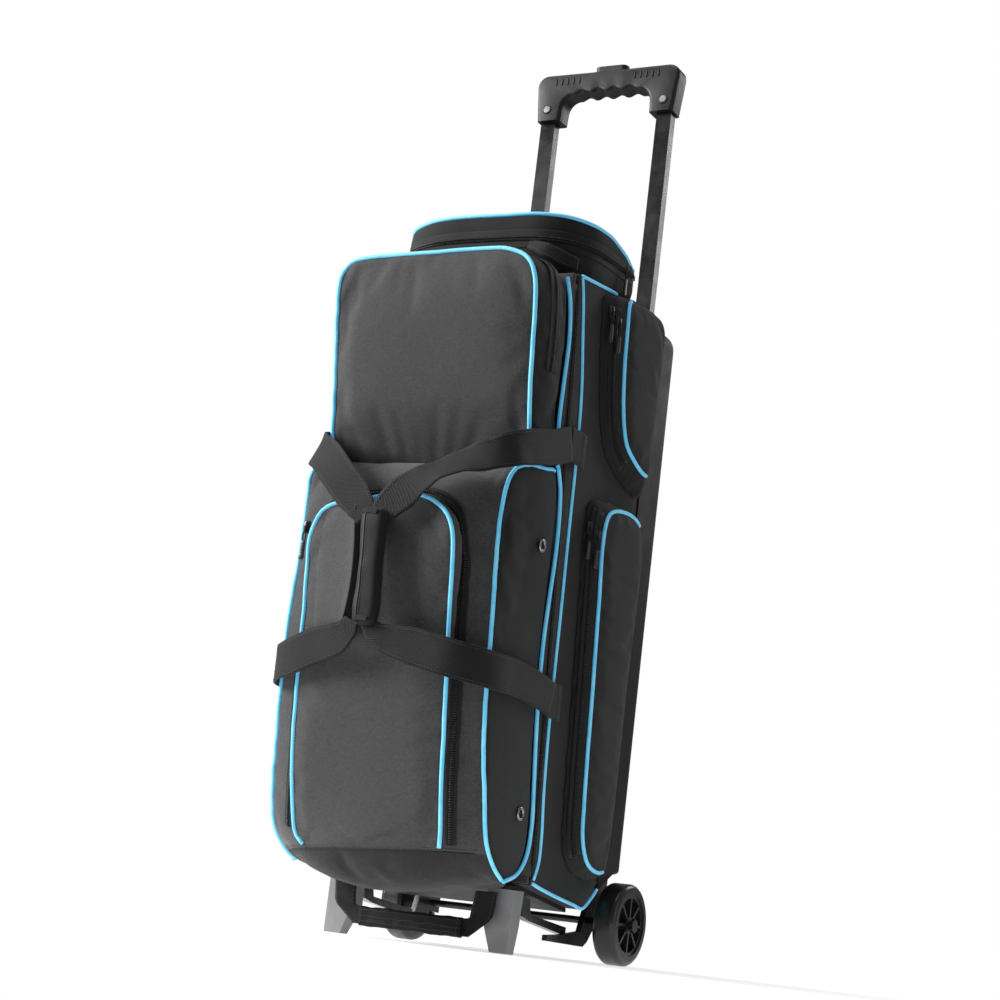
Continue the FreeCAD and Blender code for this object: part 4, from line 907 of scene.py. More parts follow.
def make_door_trim(lower_cloth, upper_cloth, upper_rim, flap_cloth, flap_rim):
    cord = Shape()
    for side, _ in SIDES:
        cord.tube(flipped(smooth(at_x(126.4, DOOR_EDGE_UPPER), 80), side), 2.1)
        cord.tube(flipped(smooth(at_x(127.2, DOOR_EDGE_LOWER), 140), side), 2.1)
        cord.tube(hug(flipped(smooth(LOWER_CORNER, 160), side), lower_cloth, 1.0), 2.2)
    upper_arch = [upper_rim[k] for k in open_run(upper_rim, lambda point: point.z > 500)]
    cord.tube(hug(upper_arch, upper_cloth, 1.1), 2.3)
    flap_arch = [flap_rim[k] for k in open_run(flap_rim, lambda point: point.z > 99)]
    arch = hug([vec(88.2, -155, 94)] + flap_arch, flap_cloth, 1.1)
    arch += hug([vec(-85.8, -158, 91.5), vec(-82.5, -158, 86.5), vec(-78.0, -158, 82.5)], lower_cloth, 1.3)
    cord.tube(arch, 2.2)
    place(cord.build("door_cord", [PIPING]), "door", "piping", "door_piping")
    seams = Shape()
    seam, thread = ([seen_from_front(lower_cloth, x, low_seam_z(x) + up, lift)
                     for x in (-117 + 234 * k / 80 for k in range(81))] for up, lift in ((0, 0.15), (3, 0.4)))
    seams.tube(seam, 0.7, 1, sides=6)
    seams.stitches(thread, FORWARD, 0, 3.4, 2.2, 0.65)
    for line, middle, share, cloth_piece in ((flap_arch, vec(0, -200, 265), 0.035, flap_cloth),
                                             (upper_arch, vec(0, -160, 610), 0.03, upper_cloth)):
        inner = hug([point.lerp(middle, share) for point in line], cloth_piece, 0.2)
        seams.stitches(inner, FORWARD, 0, 3.2, 2.1, 0.5)
    place(seams.build("door_stitching", [THREAD, TAPE]), "door", "cloth_front")
    tape = Shape()
    edge = smooth(at_x(126, DOOR_EDGE_UPPER), 60)[:-1] + smooth(at_x(126, DOOR_EDGE_LOWER[:-1]), 110)
    for side, _ in SIDES:
        seam_tape(tape, side, [point for point in edge if point.z > 80], -0.9, 124.7, 0, -2.3)
    place(tape.solid("door_tape", [TAPE, COIL]), "door", "zipper", "door_zipper_tape")


def make_flap_zipper(rim, lower_cloth):
    """The coil zipper that follows the arch outside its piping, between the folds of its two edges."""
    rows, outs = [[], [], []], []
    for k in open_run(rim, lambda point: point.z > 97):
        way = vec(rim[k].x, 0, rim[k].z - 260).normalized()
        if abs(rim[k].x) > 80 and rim[k].z < 400:
            way = vec(math.copysign(1, rim[k].x), 0, 0)
        for row, reach in zip(rows, (5.5, 10.0, 15.5)):
            row.append(rim[k] + way * reach)
        outs.append((way * 0.35 + FORWARD).normalized())
    near, line, far = (hug(row, lower_cloth, lift) for row, lift in zip(rows, (1.2, 1.0, 0.7)))
    shape = Shape()
    shape.zipper(line, outs, 11.0, 1.0, 0.8, 4.2)
    shape.tube(near, 0.8)
    shape.tube(far, 0.9)
    place(shape.build("arch_zipper", [TAPE, COIL]), "door", "zipper", "flap_zipper")


def make_upper_pocket_zipper(rim, base):
    """The upper pocket's own zipper, in its gusset on both sides and over the top."""
    line, outs = [], []
    for k in open_run(rim, lambda point: point.z > 590):
        point = rim[k].lerp(base[k], 0.52)
        way = vec(0, 0, 1)
        if abs(point.x) > 112 and point.z < 700:
            way = vec(point.x, 0, 0)
        elif abs(point.x) > 98:
            way = vec(point.x - math.copysign(98, point.x), 0, point.z - 692)
        outs.append(way.normalized())
        line.append(point + outs[-1] * 3.2)
    shape = Shape()
    shape.zipper(line, outs, 24.0, 1.0, 0.8, 4.8)
    place(shape.build("upper_pocket_zipper", [TAPE, COIL]), "door", "zipper")


# ---------------------------------------------------------------- side pockets

UPPER_SIDE_FACE = [(30, 719), (29, 690), (33, 640), (42, 596), (58, 565), (84, 551), (112, 543), (126, 545),
                   (130, 570), (131, 640), (130, 722), (112, 728), (70, 727), (40, 724)]
UPPER_SIDE_BASE = [(-13, 715), (-11, 690), (-3, 635), (12, 580), (34, 546), (70, 528), (108, 519), (134, 519),
                   (137, 560), (137, 640), (137, 730), (112, 733), (70, 732), (10, 722)]
LOWER_SIDE_FACE = [(60, 488), (34, 478), (27, 455), (33, 380), (42, 270), (50, 170), (57, 126), (74, 104),
                   (104, 96), (122, 100), (129, 130), (130, 300), (129, 470), (110, 488)]
LOWER_SIDE_BASE = [(40, 496), (8, 488), (3, 455), (9, 380), (19, 270), (28, 170), (36, 116), (54, 95),
                   (104, 86), (134, 96), (137, 140), (137, 300), (137, 480), (110, 495)]


def make_side_pocket(word, side, name, face, base, piped, zipped):
    """piped and zipped say which points of the rim have piping, and which of those a zipper."""
    rim, foot = smooth(at_x(139.5, face), 110, closed=True), smooth(at_x(125.6, base), 110, closed=True)
    made = pillow(name + "_cloth_" + word, rim, foot, vec(1.6, 0, 0), 1.0, 0, vec(1.2, 0, 0), (CLOTH_PAINTED_SHADE, CLOTH_PAINTED_SHADE), 5, side)
    inflate(made, flipped(rim + foot, side), 3.6, 3.0, 3.0, lambda point: abs(point.x) < 127.5, 3.4)
    place(made, "bag", "cloth_side", name + "_" + word)
    line = flipped(hug(flipped(rim, side), made, 0.9), side)
    run = open_run(line, piped)
    trim = Shape()
    trim.tube(flipped([line[k] for k in run], side), 2.2)
    piping = place(trim.build(name + "_cord_" + word, [PIPING]), "bag", "piping")
    ways = tangents(rim, True)
    track, outs = [], []
    for k in run:
        if zipped(line[k]):
            way = (rim[k] - foot[k]).cross(ways[k]).normalized()
            outs.append(way if way.x > 0 else -way)
            track.append(rim[k].lerp(foot[k], 0.48) + outs[-1] * 1.9)
    zipper = Shape()
    zipper.zipper(flipped(track, side), flipped(outs, side), 15, 0.9, 0.7, 4.8)
    place(zipper.build(name + "_zipper_" + word, [TAPE, COIL]), "bag", "zipper")
    return piping


def make_side_pockets():
    for side, word in SIDES:
        cord = make_side_pocket(word, side, "upper_side_pocket", UPPER_SIDE_FACE, UPPER_SIDE_BASE,
                                lambda point: point.y < 122 and not (point.z > 720 and point.y > 34),
                                lambda point: 556 < point.z < 712)
        if side == RIGHT:
            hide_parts("side_pocket_piping")
        make_side_pocket(word, side, "lower_side_pocket", LOWER_SIDE_FACE, LOWER_SIDE_BASE,
                         lambda point: point.y < 122, lambda point: 120 < point.z < 476 and point.y < 70)


# ---------------------------------------------------------------- top compartment

LID_PLAN = [(0, -82), (38, -81.5), (76, -77), (102, -62), (117, -36), (122, -8), (123, 30), (122.6, 62),
            (116, 72), (80, 74), (0, 74), (-80, 74), (-116, 72), (-122.6, 62), (-123, 30), (-121, -8),
            (-114, -34), (-98, -56), (-72, -72), (-38, -80.5)]


def lid_top(y):
    """The lid's rim height, level at the front and falling away at the back."""
    return read_off([(-90, 789.5), (4, 788), (38, 780), (58, 768), (70, 763), (90, 762.5)], y)


def inset(plan, amount):
    """A smaller copy of a plan outline, moved in square to its edge."""
    ways = tangents(plan, True)
    return [point + vec(-way.y, way.x, 0) * amount for point, way in zip(plan, ways)]


def make_top():
    count = 140
    plan = smooth([vec(x, y, 0) for x, y in LID_PLAN], count, closed=True)
    inner = inset(plan, 5.0)

    def raised(line, height):
        return [vec(p.x, p.y, height(p.y) if callable(height) else height) for p in line]

    def body_top(y):
        return read_off([(-90, 718.6), (-74, 718.8), (34, 729), (68, 736), (140, 736)], y) + 0.6

    def bowed(amount):
        return lambda share, k: push[k] * (amount * math.sin(math.pi * share))

    rim, foot, foot_in = raised(plan, lid_top), raised(plan, 761.0), raised(inner, 761.0)
    roof = raised(inner, lambda y: max(lid_top(y) - 5.5, 761.4))
    push = away(rim, 1.2, 2)
    shape = Shape()
    fill(shape, rim, vec(0, 0, 1.5), count=12, centre=vec(0, 10, 787))
    for rows, slot in ((between(rim, foot, 5, bowed(1.0)), 0), ([foot, foot_in], 0), (between(foot_in, roof, 3), 1)):
        shape.grid(rows, slot, round_rows=True, flip=True)
    fill(shape, roof, slot=1, flip=True, count=12, centre=vec(0, 10, 782))
    made = rounded(shape.solid("lid_cloth", [CLOTH_PAINTED_SHADE, LINING], weld=0.02), 1.1, 22.0, 3.0)
    place(made, "lid", "cloth_side", "top_lid")
    cord = Shape()
    cord.tube(hug(rim, made, 0.9), 2.2, closed=True)
    place(cord.build("lid_cord", [PIPING]), "lid", "piping", "lid_piping")

    wall_top, wall_low = raised(plan, 759.4), raised(plan, body_top)
    top_in, floor_in = raised(inner, 759.4), raised(inner, 739.5)
    tub = Shape()
    for rows, slot in ((between(wall_top, wall_low, 6, bowed(1.3)), 0), ([top_in, wall_top], 0),
                       (between(floor_in, top_in, 3), 1)):
        tub.grid(rows, slot, round_rows=True, flip=True)
    fill(tub, floor_in, vec(0, 0, 0.4), 1)
    fill(tub, wall_low, flip=True, centre=vec(0, 0, 727))
    made = tub.solid("top_compartment_cloth", [CLOTH_PAINTED_SHADE, LINING], weld=0.02)
    ripple(made, 0.7, 25.0, 8.0)
    place(made, "bag", "cloth_side", "top_compartment")

    run = open_run(plan, lambda point: point.y <= 66)
    around = away(plan, 1.0, 2)
    ways = [around[k] for k in run]
    track = [plan[k] + vec(0, 0, 757.0) + around[k] * 1.3 for k in run]
    for name, body, tape_up, wide, teeth_up in (("top_compartment_tape", "bag", -3.6, 8.5, 1.6),
                                                ("lid_tape", "lid", 9.4, 8.0, 4.4)):
        trim = Shape()
        trim.ribbon([point + vec(0, 0, tape_up) for point in track], ways, wide, 0.9)
        trim.teeth([point + vec(0, 0, teeth_up) + way * 0.6 for point, way in zip(track, ways)], ways, 2.4, 2.3, 1)
        place(trim.build(name, [TAPE, COIL]), body, "zipper")
    loop = Shape()
    strap(loop, [((66, -84.2, 751), (0, -1, 0.1), 9), ((76, -87.5, 748.5), (0.1, -1, 0.3), 13),
                 ((89, -88.5, 743), (0.25, -1, 0.35), 18), ((101, -80, 738), (0.8, -1, 0.15), 19),
                 ((110.5, -67, 735.5), (1, -0.7, 0), 17), ((114.5, -58, 735), (1, -0.5, 0), 15)], 1.6, 40)
    place(loop.build("top_loop_web", [WEB, THREAD]), "bag", "webbing")


# ---------------------------------------------------------------- straps

def strap(shape, rungs, thick=2.3, steps=80):
    """Webbing through rungs of (centre, outward way, width)."""
    centres, looks, wides = zip(*rungs)
    centres = [vec(*centre) for centre in centres]
    looks = [vec(*look).normalized() for look in looks]
    line, reach = smooth(centres, steps), reaches(centres)
    outs, widths = [], []
    for index in range(steps):
        goal = reach[-1] * index / (steps - 1)
        low = min(max(k for k in range(len(reach)) if reach[k] <= goal + 1e-9), len(reach) - 2)
        share = (goal - reach[low]) / (reach[low + 1] - reach[low])
        share = share * share * (3 - 2 * share)
        outs.append(looks[low].lerp(looks[low + 1], share).normalized())
        widths.append(wides[low] + (wides[low + 1] - wides[low]) * share)
    shape.ribbon(line, outs, widths, thick)
    for edge in (-1, 1):
        run = [point + way.cross(out).normalized() * (edge * (wide / 2 - 3.2)) + out * (thick / 2 + 0.1)
               for point, way, out, wide in zip(line, tangents(line), outs, widths)]
        shape.stitches(run[3:-4], outs[3:-4], 1, 3.6, 2.2, 0.45)


UPPER_STRAP_RIGHT = [
    ((131.6, -58, 534), (1, 0, 0), 38), ((132.2, -94, 521), (1, 0, 0.05), 38),
    ((131.5, -140, 509), (1, -0.15, 0.1), 38), ((126, -169, 500), (0.75, -0.7, 0.1), 37),
    ((106, -189, 488), (0.3, -1, 0.25), 36), ((80, -198, 479), (0.15, -1, 0.75), 35),
    ((61, -204, 469), (0.05, -1, 0.95), 36), ((43, -210, 457), (0.05, -1, 0.5), 38),
    ((27, -216, 440), (0.15, -1, 0.1), 38), ((15, -220, 425), (0.2, -1, 0.05), 32),
    ((9, -221, 412), (0.1, -1, 0), 22),
]
UPPER_STRAP_LEFT = [
    ((-131.4, -65, 531), (-1, 0, 0), 38), ((-131.8, -98, 519), (-1, 0, 0.05), 38),
    ((-129, -135, 509.5), (-1, -0.2, 0.2), 38), ((-113.5, -167, 500.5), (-0.7, -0.8, 0.4), 38),
    ((-86, -191, 486.5), (-0.15, -1, 0.35), 38), ((-57, -208, 463), (0.05, -1, 0.2), 38),
    ((-32, -215, 441), (0.1, -1, 0.15), 38), ((-17, -219, 426), (0.1, -1, 0.05), 32),
    ((-9, -221, 412), (0, -1, 0), 20),
]
LOWER_STRAP_RIGHT = [
    ((131.6, -36, 263), (1, 0, 0), 38), ((132.2, -65, 268), (1, 0, 0), 38), ((132, -120, 273), (1, -0.05, 0), 38),
    ((131, -158, 273), (0.95, -0.4, 0), 38), ((121, -184, 274.5), (0.5, -1, 0), 38),
    ((99, -202, 278.5), (0.2, -1, -0.05), 38), ((64, -212, 286), (0.1, -1, -0.1), 38),
    ((38, -217, 291), (0.2, -1, -0.2), 32), ((20, -220, 298), (0.3, -1, -0.2), 22),
    ((10, -221, 307), (0.1, -1, 0), 14),
]
LOWER_STRAP_LEFT = [
    ((-131.6, -44, 263), (-1, 0, 0), 38), ((-132.2, -70, 263), (-1, 0, 0), 38),
    ((-131.4, -130, 264), (-1, -0.1, 0), 38), ((-127, -166, 265), (-0.85, -0.55, 0), 38),
    ((-112, -188, 267), (-0.35, -1, 0), 38), ((-88, -201, 272), (-0.1, -1, -0.1), 38),
    ((-56, -209, 283), (0.05, -1, -0.15), 37), ((-28, -215, 290), (0.1, -1, -0.15), 34),
    ((-14, -219, 299), (0.1, -1, 0), 26), ((-9, -220, 309), (0, -1, 0), 18),
]


def make_straps():
    runs = ((UPPER_STRAP_RIGHT, LOWER_STRAP_RIGHT), (UPPER_STRAP_LEFT, LOWER_STRAP_LEFT))
    tabs = Shape()
    for (side, word), run in zip(SIDES, runs):
        shape = Shape()
        for rungs in run:
            strap(shape, rungs)
        place(shape.build("haul_strap_" + word + "_web", [WEB, THREAD]), "door", "webbing", "haul_strap_" + word)
        for z, long in ((534, 40), (263, 27)):
            start = seam_y(z) + (0.8 if side == RIGHT else 11.2)
            line = [vec(side * (131.2 - 2.4 * max(0, k - 9) / 3), start + long * k / 12, z + 0.4 * k / 12)
                    for k in range(13)]
            tabs.ribbon(line, [vec(side, 0, 0)] * 13, 37.5, 2.3)
            for back in (5, 12):
                seam = [vec(side * 132.6, start + long - back, z - 15 + 30 * k / 9) for k in range(10)]
                tabs.stitches(seam, vec(side, 0, 0), 1, 3.0, 2.2, 0.6)
    place(tabs.build("strap_tabs_web", [WEB, THREAD]), "bag", "webbing", "strap_tabs")


def make_grip_wrap(flap_cloth):
    """A padded roll round the right-hand straps, and the wrap's other leaf lying open on the flap."""
    def roll_x(share):
        return -5.0 * share + 1.2 * math.sin(share * 3.0)

    def bump(share):
        return math.sin(math.pi * min(share, 1.0) / 2)

    levels = []
    for k in range(33):
        share = k / 32
        squeeze = (1 - abs(2 * share - 1) ** 10) ** 0.5
        wide = 13.6 * (0.55 + 0.45 * squeeze) + 0.8 * math.sin(share * 9)
        levels.append(oval(vec(8.5 + roll_x(share), -222.3, 303 + 122 * share), wide,
                           7.4 * (0.5 + 0.5 * squeeze), 36, 0.5, 0.75))
    shape = Shape()
    shape.loft(levels)
    made = rounded(shape.solid("grip_wrap_roll", [PADDED]), 0.9, 55.0, 2.0)
    place(made, "door", "webbing", "grip_wrap")
    trim = Shape()
    seam = hug([vec(1.0 + roll_x(k / 40), -232, 309 + 110 * k / 40) for k in range(41)], made, 0.25)
    trim.tube(seam, 0.75, 1, sides=6)
    trim.stitches([point + vec(2.6, -0.1, 0) for point in seam], FORWARD, 1, 3.2, 2.0, 0.5)
    for z, lean in ((419.5, 0.0), (308.5, 4.0)):
        loop = [vec(lean - 9 + 20 * k / 16, -232, z + 1.5 * math.sin(k / 16 * math.pi)) for k in range(17)]
        trim.ribbon(hug(loop, made, 0.7), [FORWARD] * 17, 5.0, 1.2)
    place(trim.build("grip_wrap_binding", [WEB, THREAD]), "door", "webbing")

    tops, unders = [], []
    for k in range(33):
        share = k / 32
        z = 304 + 124 * share
        arc = math.sin(math.pi * share)
        right_x, left_x = -20.5 + 5.0 * arc - 3.5 * (1 - share) ** 6, -70 - 2.0 * arc
        top, under = [], []
        for j in range(17):
            across = j / 16
            x = left_x + (right_x - left_x) * across
            rest = flap_cloth.closest_point_on_mesh(vec(x, -215, z) * MM)[1].y / MM
            lie = rest - 11.0 * across ** 1.8 + 1.6 * (1 - across) ** 6
            curl = 17 * max(0.0, across - 0.8)
            edge = bump(across / 0.14) * bump((1 - across) / 0.1) * bump(min(share, 1 - share) / 0.04) * across
            top.append(vec(x, lie - 0.7 - 1.6 * edge - curl * 0.4, z))
            under.append(vec(x, lie - 0.3 + 1.4 * edge + curl * 1.6, z))
        tops.append(top)
        unders.append(under)
    leaf = Shape()
    leaf.slab(tops, unders)
    made = leaf.solid("grip_wrap_leaf", [CLOTH_PAINTED_LIT], weld=0.02)
    bake(made, "SUBSURF", levels=1, render_levels=1)
    place(made, "door", "cloth_front")
    binding = Shape()
    rim = [row[-1] + vec(0.2, -0.4, 0) for row in tops]
    binding.ribbon(rim, [vec(0.75, -1, 0)] * len(rim), 5.6, 1.6)
    binding.stitches([point + vec(-2.8, -1.6, 0) for point in rim], FORWARD, 1, 3.2, 2.0, 0.5)
    place(binding.build("grip_leaf_binding", [WEB, THREAD]), "door", "webbing")


def flat_web(shape, rungs, y, thick):
    """Webbing lying in a plane of constant y, through rungs of (inner x, z, outer x, z)."""
    per = 6
    places = [[a + (b - a) * step / per for a, b in zip(first, second)]
              for first, second in zip(rungs, rungs[1:]) for step in range(per)] + [rungs[-1]]
    reach = reaches([vec(x, 0, z) for x, z, _, _ in places])
    rows = []
    for index, (x1, z1, x2, z2) in enumerate(places):
        row = [vec(x1 + (x2 - x1) * j / 8, y - thick / 2 + 0.35 * math.sin(j / 8 * 5 + index * 0.35),
                   z1 + (z2 - z1) * j / 8) for j in range(9)]
        rows.append(row + [point + vec(0, thick, 0) for point in row[::-1]])
    shape.loft(rows, 0, lambda i, j: (min(j % 18, 17 - j % 18) * 3.2 * MM, reach[i] * MM))


def make_carry_handle():
    """Wide webbing that hangs down at each side and is folded in to a flat stitched sleeve."""
    shape = Shape()
    down = [(73, 60.5, 98.5, 60.5), (72, 50, 97.5, 49), (71, 40, 96, 36), (70, 33, 92, 30), (68, 31.5, 80, 20.5),
            (64, 31, 70, 12.5), (58, 30.5, 60, 12.5)]
    under = [(76, 59.5, 97, 59.5), (75.5, 44, 95, 40), (74, 34, 90, 30), (70, 26, 78, 20), (60, 24, 62, 14)]
    for side, _ in SIDES:
        for rungs, y, thick in ((down, -43.4, 2.0), (under, -41.3, 1.4)):
            flat_web(shape, [(x1 * side, z1, x2 * side, z2) for x1, z1, x2, z2 in rungs], y, thick)
        for edge in ((75.5, 59), (74.5, 50), (73.5, 40), (72.5, 34)), ((96, 59), (95, 49.5), (93.4, 38), (90.5, 31)):
            line = smooth([(x * side, -44.7, z) for x, z in edge], 12)
            shape.stitches(line, FORWARD, 1, 3.4, 2.1, 0.45)
    place(shape.solid("carry_strap_web", [WEB, THREAD]), "carry_handle", "webbing", "carry_strap")
    profile = [(-3.6, 9.6), (-4.7, 8.0), (-4.4, 3.0), (-4.9, -1.6), (-4.1, -2.4), (-5.0, -3.4), (-4.7, -8.6),
               (-3.2, -10.4), (1.6, -10.6), (4.4, -9.0), (4.8, 0.0), (4.4, 8.4), (2.0, 10.2), (-1.6, 10.4)]
    half = 62.0
    rows = []
    for k in range(74):
        x = -half + 2 * half * min(max((k - 0.6) / 71.8, 0.0), 1.0)
        sag = 0.5 * math.sin(x * 0.16) + 0.3 * math.sin(x * 0.43 + 1)
        rows.append([vec(x, -43.2 + y + 0.35 * sag * math.sin(z), 21.2 + z + 0.6 * sag) for y, z in profile])
    sleeve = Shape()
    sleeve.loft(rows)
    made = rounded(sleeve.solid("carry_sleeve_pad", [PADDED]), 0.6, 90.0, 5.0)
    place(made, "carry_handle", "webbing", "carry_sleeve")
    trim = Shape()
    for z in (15.4, 21.2, 28.4):
        line = hug([vec(-59 + 118 * k / 50, -60, z) for k in range(51)], made, 0.15)
        trim.stitches(line, FORWARD, 0, 3.2, 2.1, 0.5)
    for x in (-58.5, 58.5):
        line = hug([vec(x, -60, 13 + 16 * k / 12) for k in range(13)], made, 0.15)
        trim.stitches(line, FORWARD, 0, 2.6, 1.8, 0.5)
    place(trim.build("carry_sleeve_stitching", [THREAD]), "carry_handle", "webbing")


# ---------------------------------------------------------------- zipper pulls

PULLS = [
    ("upper_pull_front", (135, -1, 700), 69.4), ("upper_pull_rear", (139.2, 11.4, 690), 69.4),
    ("lower_pull_front", (133.6, 6, 458), 56.9), ("lower_pull_rear", (139.6, 15.2, 450), 56.9),
]
FLAP_PULL = (97, -194.5, 410)


def hung(shape, spot, turn, side):
    """Turns a small part about its own upright, then moves it to its place on one side."""
    spin = Matrix.Rotation(math.radians(side * turn), 3, "Z")
    return [spin @ point + vec(spot[0] * side, spot[1], spot[2]) for point in shape.verts]


def make_pull(name, spot, turn, side):
    """A slider tab, a short cord loop and a ribbed grip, hanging down from the slider's bridge."""
    shape = Shape()
    shape.tube(spaced([vec(0, -0.4, 1), vec(0, -0.6, -3), vec(0, -0.5, -8)], 8),
               [1.3, 1.7, 1.9, 1.9, 1.8, 1.6, 1.4, 1.1], 1, sides=10, flat=0.5, up=vec(0, 1, 0))
    loop = [(-1.4, -0.5, -6), (-1.9, -0.6, -11), (-1.2, -0.7, -16)]
    shape.tube(smooth(loop + [(-x, y, z) for x, y, z in loop[::-1]], 40), 0.75, 1)
    profile = [(0, 1.6), (1.5, 2.5), (3, 3.1), (5, 2.5), (6.5, 3.2), (8, 2.5), (9.5, 3.2), (11, 2.5), (12.5, 3.2),
               (14, 2.6), (15.5, 3.3), (17.5, 3.4), (19.5, 3.1), (21, 2.0)]
    shape.loft([oval(vec(0, -0.7, -15 - drop), wide, 0.46 * wide, 16, 0.8, 0.8) for drop, wide in profile])
    shape.verts = hung(shape, spot, turn, side)
    made = shape.solid(name + "_grip", [PULL, WEB])
    bake(made, "SUBSURF", levels=1, render_levels=1)
    place(made, name, "pull", name)


def make_sliders(name, body, nodes, spots):
    """The slider bodies that ride on the coils, with their bridges."""
    sliders = Shape()
    for spot, turn, side in spots:
        one = Shape()
        one.loft([oval(vec(0, 2.6, drop), wide, deep, 14, 0.6, 0.7) for drop, wide, deep in (
            (-7, 2.2, 1.0), (-6, 3.0, 1.5), (-2, 3.3, 1.8), (3, 4.3, 1.8), (5.5, 4.1, 1.5), (6.5, 3.0, 1.0))])
        one.tube(smooth([(0, 1.4, -5), (0, 0.4, -3), (0, 0.2, 0), (0, 0.4, 3), (0, 1.4, 5)], 14), 0.9)
        start = len(sliders.verts)
        sliders.verts += hung(one, spot, turn, side)
        for face in one.faces:
            sliders.face([start + corner for corner in face])
    place(sliders.solid(name, [PULL]), body, "zipper", *nodes)


def make_pulls():
    spots = []
    for name, spot, turn in PULLS:
        for side, word in SIDES:
            make_pull(name + "_" + word, spot, turn, side)
            spots.append((spot, turn, side))
    make_pull("lid_pull_right", (128.5, 34, 765), 90, RIGHT)
    make_sliders("zipper_slider_bodies", "bag", ["zipper_sliders"], spots)
    make_pull("flap_pull_left", FLAP_PULL, 0, LEFT)
    make_sliders("flap_slider_body", "door", [], [(FLAP_PULL, 0, LEFT)])


def make_grommets():
    shape = Shape()
    y_axis, z_axis = vec(0, 1, 0), vec(0, 0, 1)
    for side, _ in SIDES:
        for y, z in ((-92, 416), (-72, 141)):
            shape.tube(circle(vec(side * 129.2, y, z), 5.6, 48, y_axis, z_axis), 1.7, closed=True, sides=12)
            disc, under = (circle(vec(side * x, y, z), 5.0, 24, y_axis, z_axis) for x in (129.0, 126.5))
            shape.loft([under, disc] if side == RIGHT else [disc, under], 1)
    place(shape.build("vent_rings", [RING, MESH]), "door", "grommet_metal", "vent_grommets")


# ---------------------------------------------------------------- handle grip

def make_grip():
    """The moulded grip, with round shoulders, a scalloped underside and ridges to hold."""
    low, high = (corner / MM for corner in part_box("grip_housing"))
    half, floor, top = high.x, low.z, high.z
    front, rear = low.y, high.y
    shoulder, soft, slot_half, slot_deep, bend = 14.0, 5.0, 22.3, 14.0, low.z + 13

    def under(x):
        return top - 25.5 - 3.9 * (0.5 + 0.5 * math.cos(2 * math.pi * x / 21.5))

    pairs = []
    for k in range(21):
        x = slot_half * k / 20
        pairs.append(((x, top), (x, under(x)), slot_deep))
    for k in range(29):
        x = slot_half + 0.05 + (44 - slot_half) * k / 28
        outer = slot_half + 0.05 + (half - shoulder - slot_half) * k / 28
        pairs.append(((outer, top), (x, under(x)), 0.0))
    for k in range(1, 13):
        turn = math.pi / 2 * k / 12
        outer = (half - shoulder + shoulder * math.sin(turn), top - shoulder + shoulder * math.cos(turn))
        pairs.append((outer, (44 + 16.5 * math.sin(turn), bend + (under(44) - bend) * math.cos(turn)), 0.0))
    for k in range(1, 9):
        share = k / 8
        outer = (half - 4.5 * share, top - shoulder + (floor - top + shoulder) * share)
        pairs.append((outer, (60.5 + 0.5 * share, bend + (floor - bend) * share), 0.0))
    spans = [(-1, pair) for pair in pairs[:0:-1]] + [(1, pair) for pair in pairs]
    rows = []
    for side, (outer, inner, deep) in spans:
        start = vec(outer[0] * side, 0, outer[1])
        way = vec(inner[0] * side, 0, inner[1]) - start
        far = way.length - soft
        way.normalize()
        ring = [(middle + soft * math.cos(turn), level + soft * math.sin(turn))
                for middle, level, first in ((soft, front + soft, 1.0), (far, front + soft, 1.5),
                                             (far, rear - soft, 0.0), (soft, rear - soft, 0.5))
                for turn in (math.pi * (first + k / 10) for k in range(6))]
        ring += [(0.0, TUBE_Y + 8.1), (deep, TUBE_Y + 8.05), (deep, TUBE_Y - 8.05), (0.0, TUBE_Y - 8.1)]
        rows.append([start + way * reach + vec(0, y, 0) for reach, y in ring])
    shape = Shape()
    shape.loft(rows)
    made = shape.solid("grip_moulding", [GRIP])
    made.data.set_sharp_from_angle(angle=math.radians(38))
    place(made, "handle", "grip_plastic", "grip_housing")
    extra = Shape()
    for side, _ in SIDES:
        for number in range(5):
            x = side * (38 + 8 * number)
            line = smooth([(x, front - 0.1, top - 15), (x, front + 0.2, top - 7), (x, front + 2.4, top - 1.6),
                           (x, front + 7, top + 0.1), (x, front + 14, top + 0.2)], 16)
            extra.tube(line, 0.9)
        ring = circle(vec(side * TUBE_X, front - 0.1, 1032.5), 5.0, 32, vec(1, 0, 0), vec(0, 0, 1))
        extra.tube(ring, 0.9, closed=True, sides=10)
    place(extra.build("grip_ridges", [GRIP]), "handle", "grip_plastic")


def shell_form(name, inward, front):
    """A closed block with the back shell's outline, moved in by the wall: lofted from the front to the rear."""
    half, top, rear, round_plan = BODY_HALF - inward, 733.0 - inward, 208.0 - inward, 24.0 - inward
    curve, foot = 21.0 - inward, 4.0
    floor = [(front, 76.0), (138, 76.0), (178, 98.0), (208, 102.0)]
    stations = [(front, half)] + [(138 + 46.0 * k / 8, half) for k in range(9)]
    for k in range(1, 11):
        turn = math.pi / 2 * k / 10
        stations.append((rear - round_plan + round_plan * math.sin(turn), half - round_plan * (1 - math.cos(turn))))
    rows = []
    for y, wide in stations:
        low = read_off(floor, y) + inward
        corners = ((wide - foot, low + foot, foot, -0.5), (wide - curve, top - curve, curve, 0.0),
                   (curve - wide, top - curve, curve, 0.5), (foot - wide, low + foot, foot, 1.0))
        rows.append([vec(x + radius * math.cos(turn), y, z + radius * math.sin(turn))
                     for x, z, radius, first in corners for turn in (math.pi * (first + k / 20) for k in range(11))])
    shape = Shape()
    shape.loft(rows)
    return shape.solid(name, [SHELL], weld=0.01)


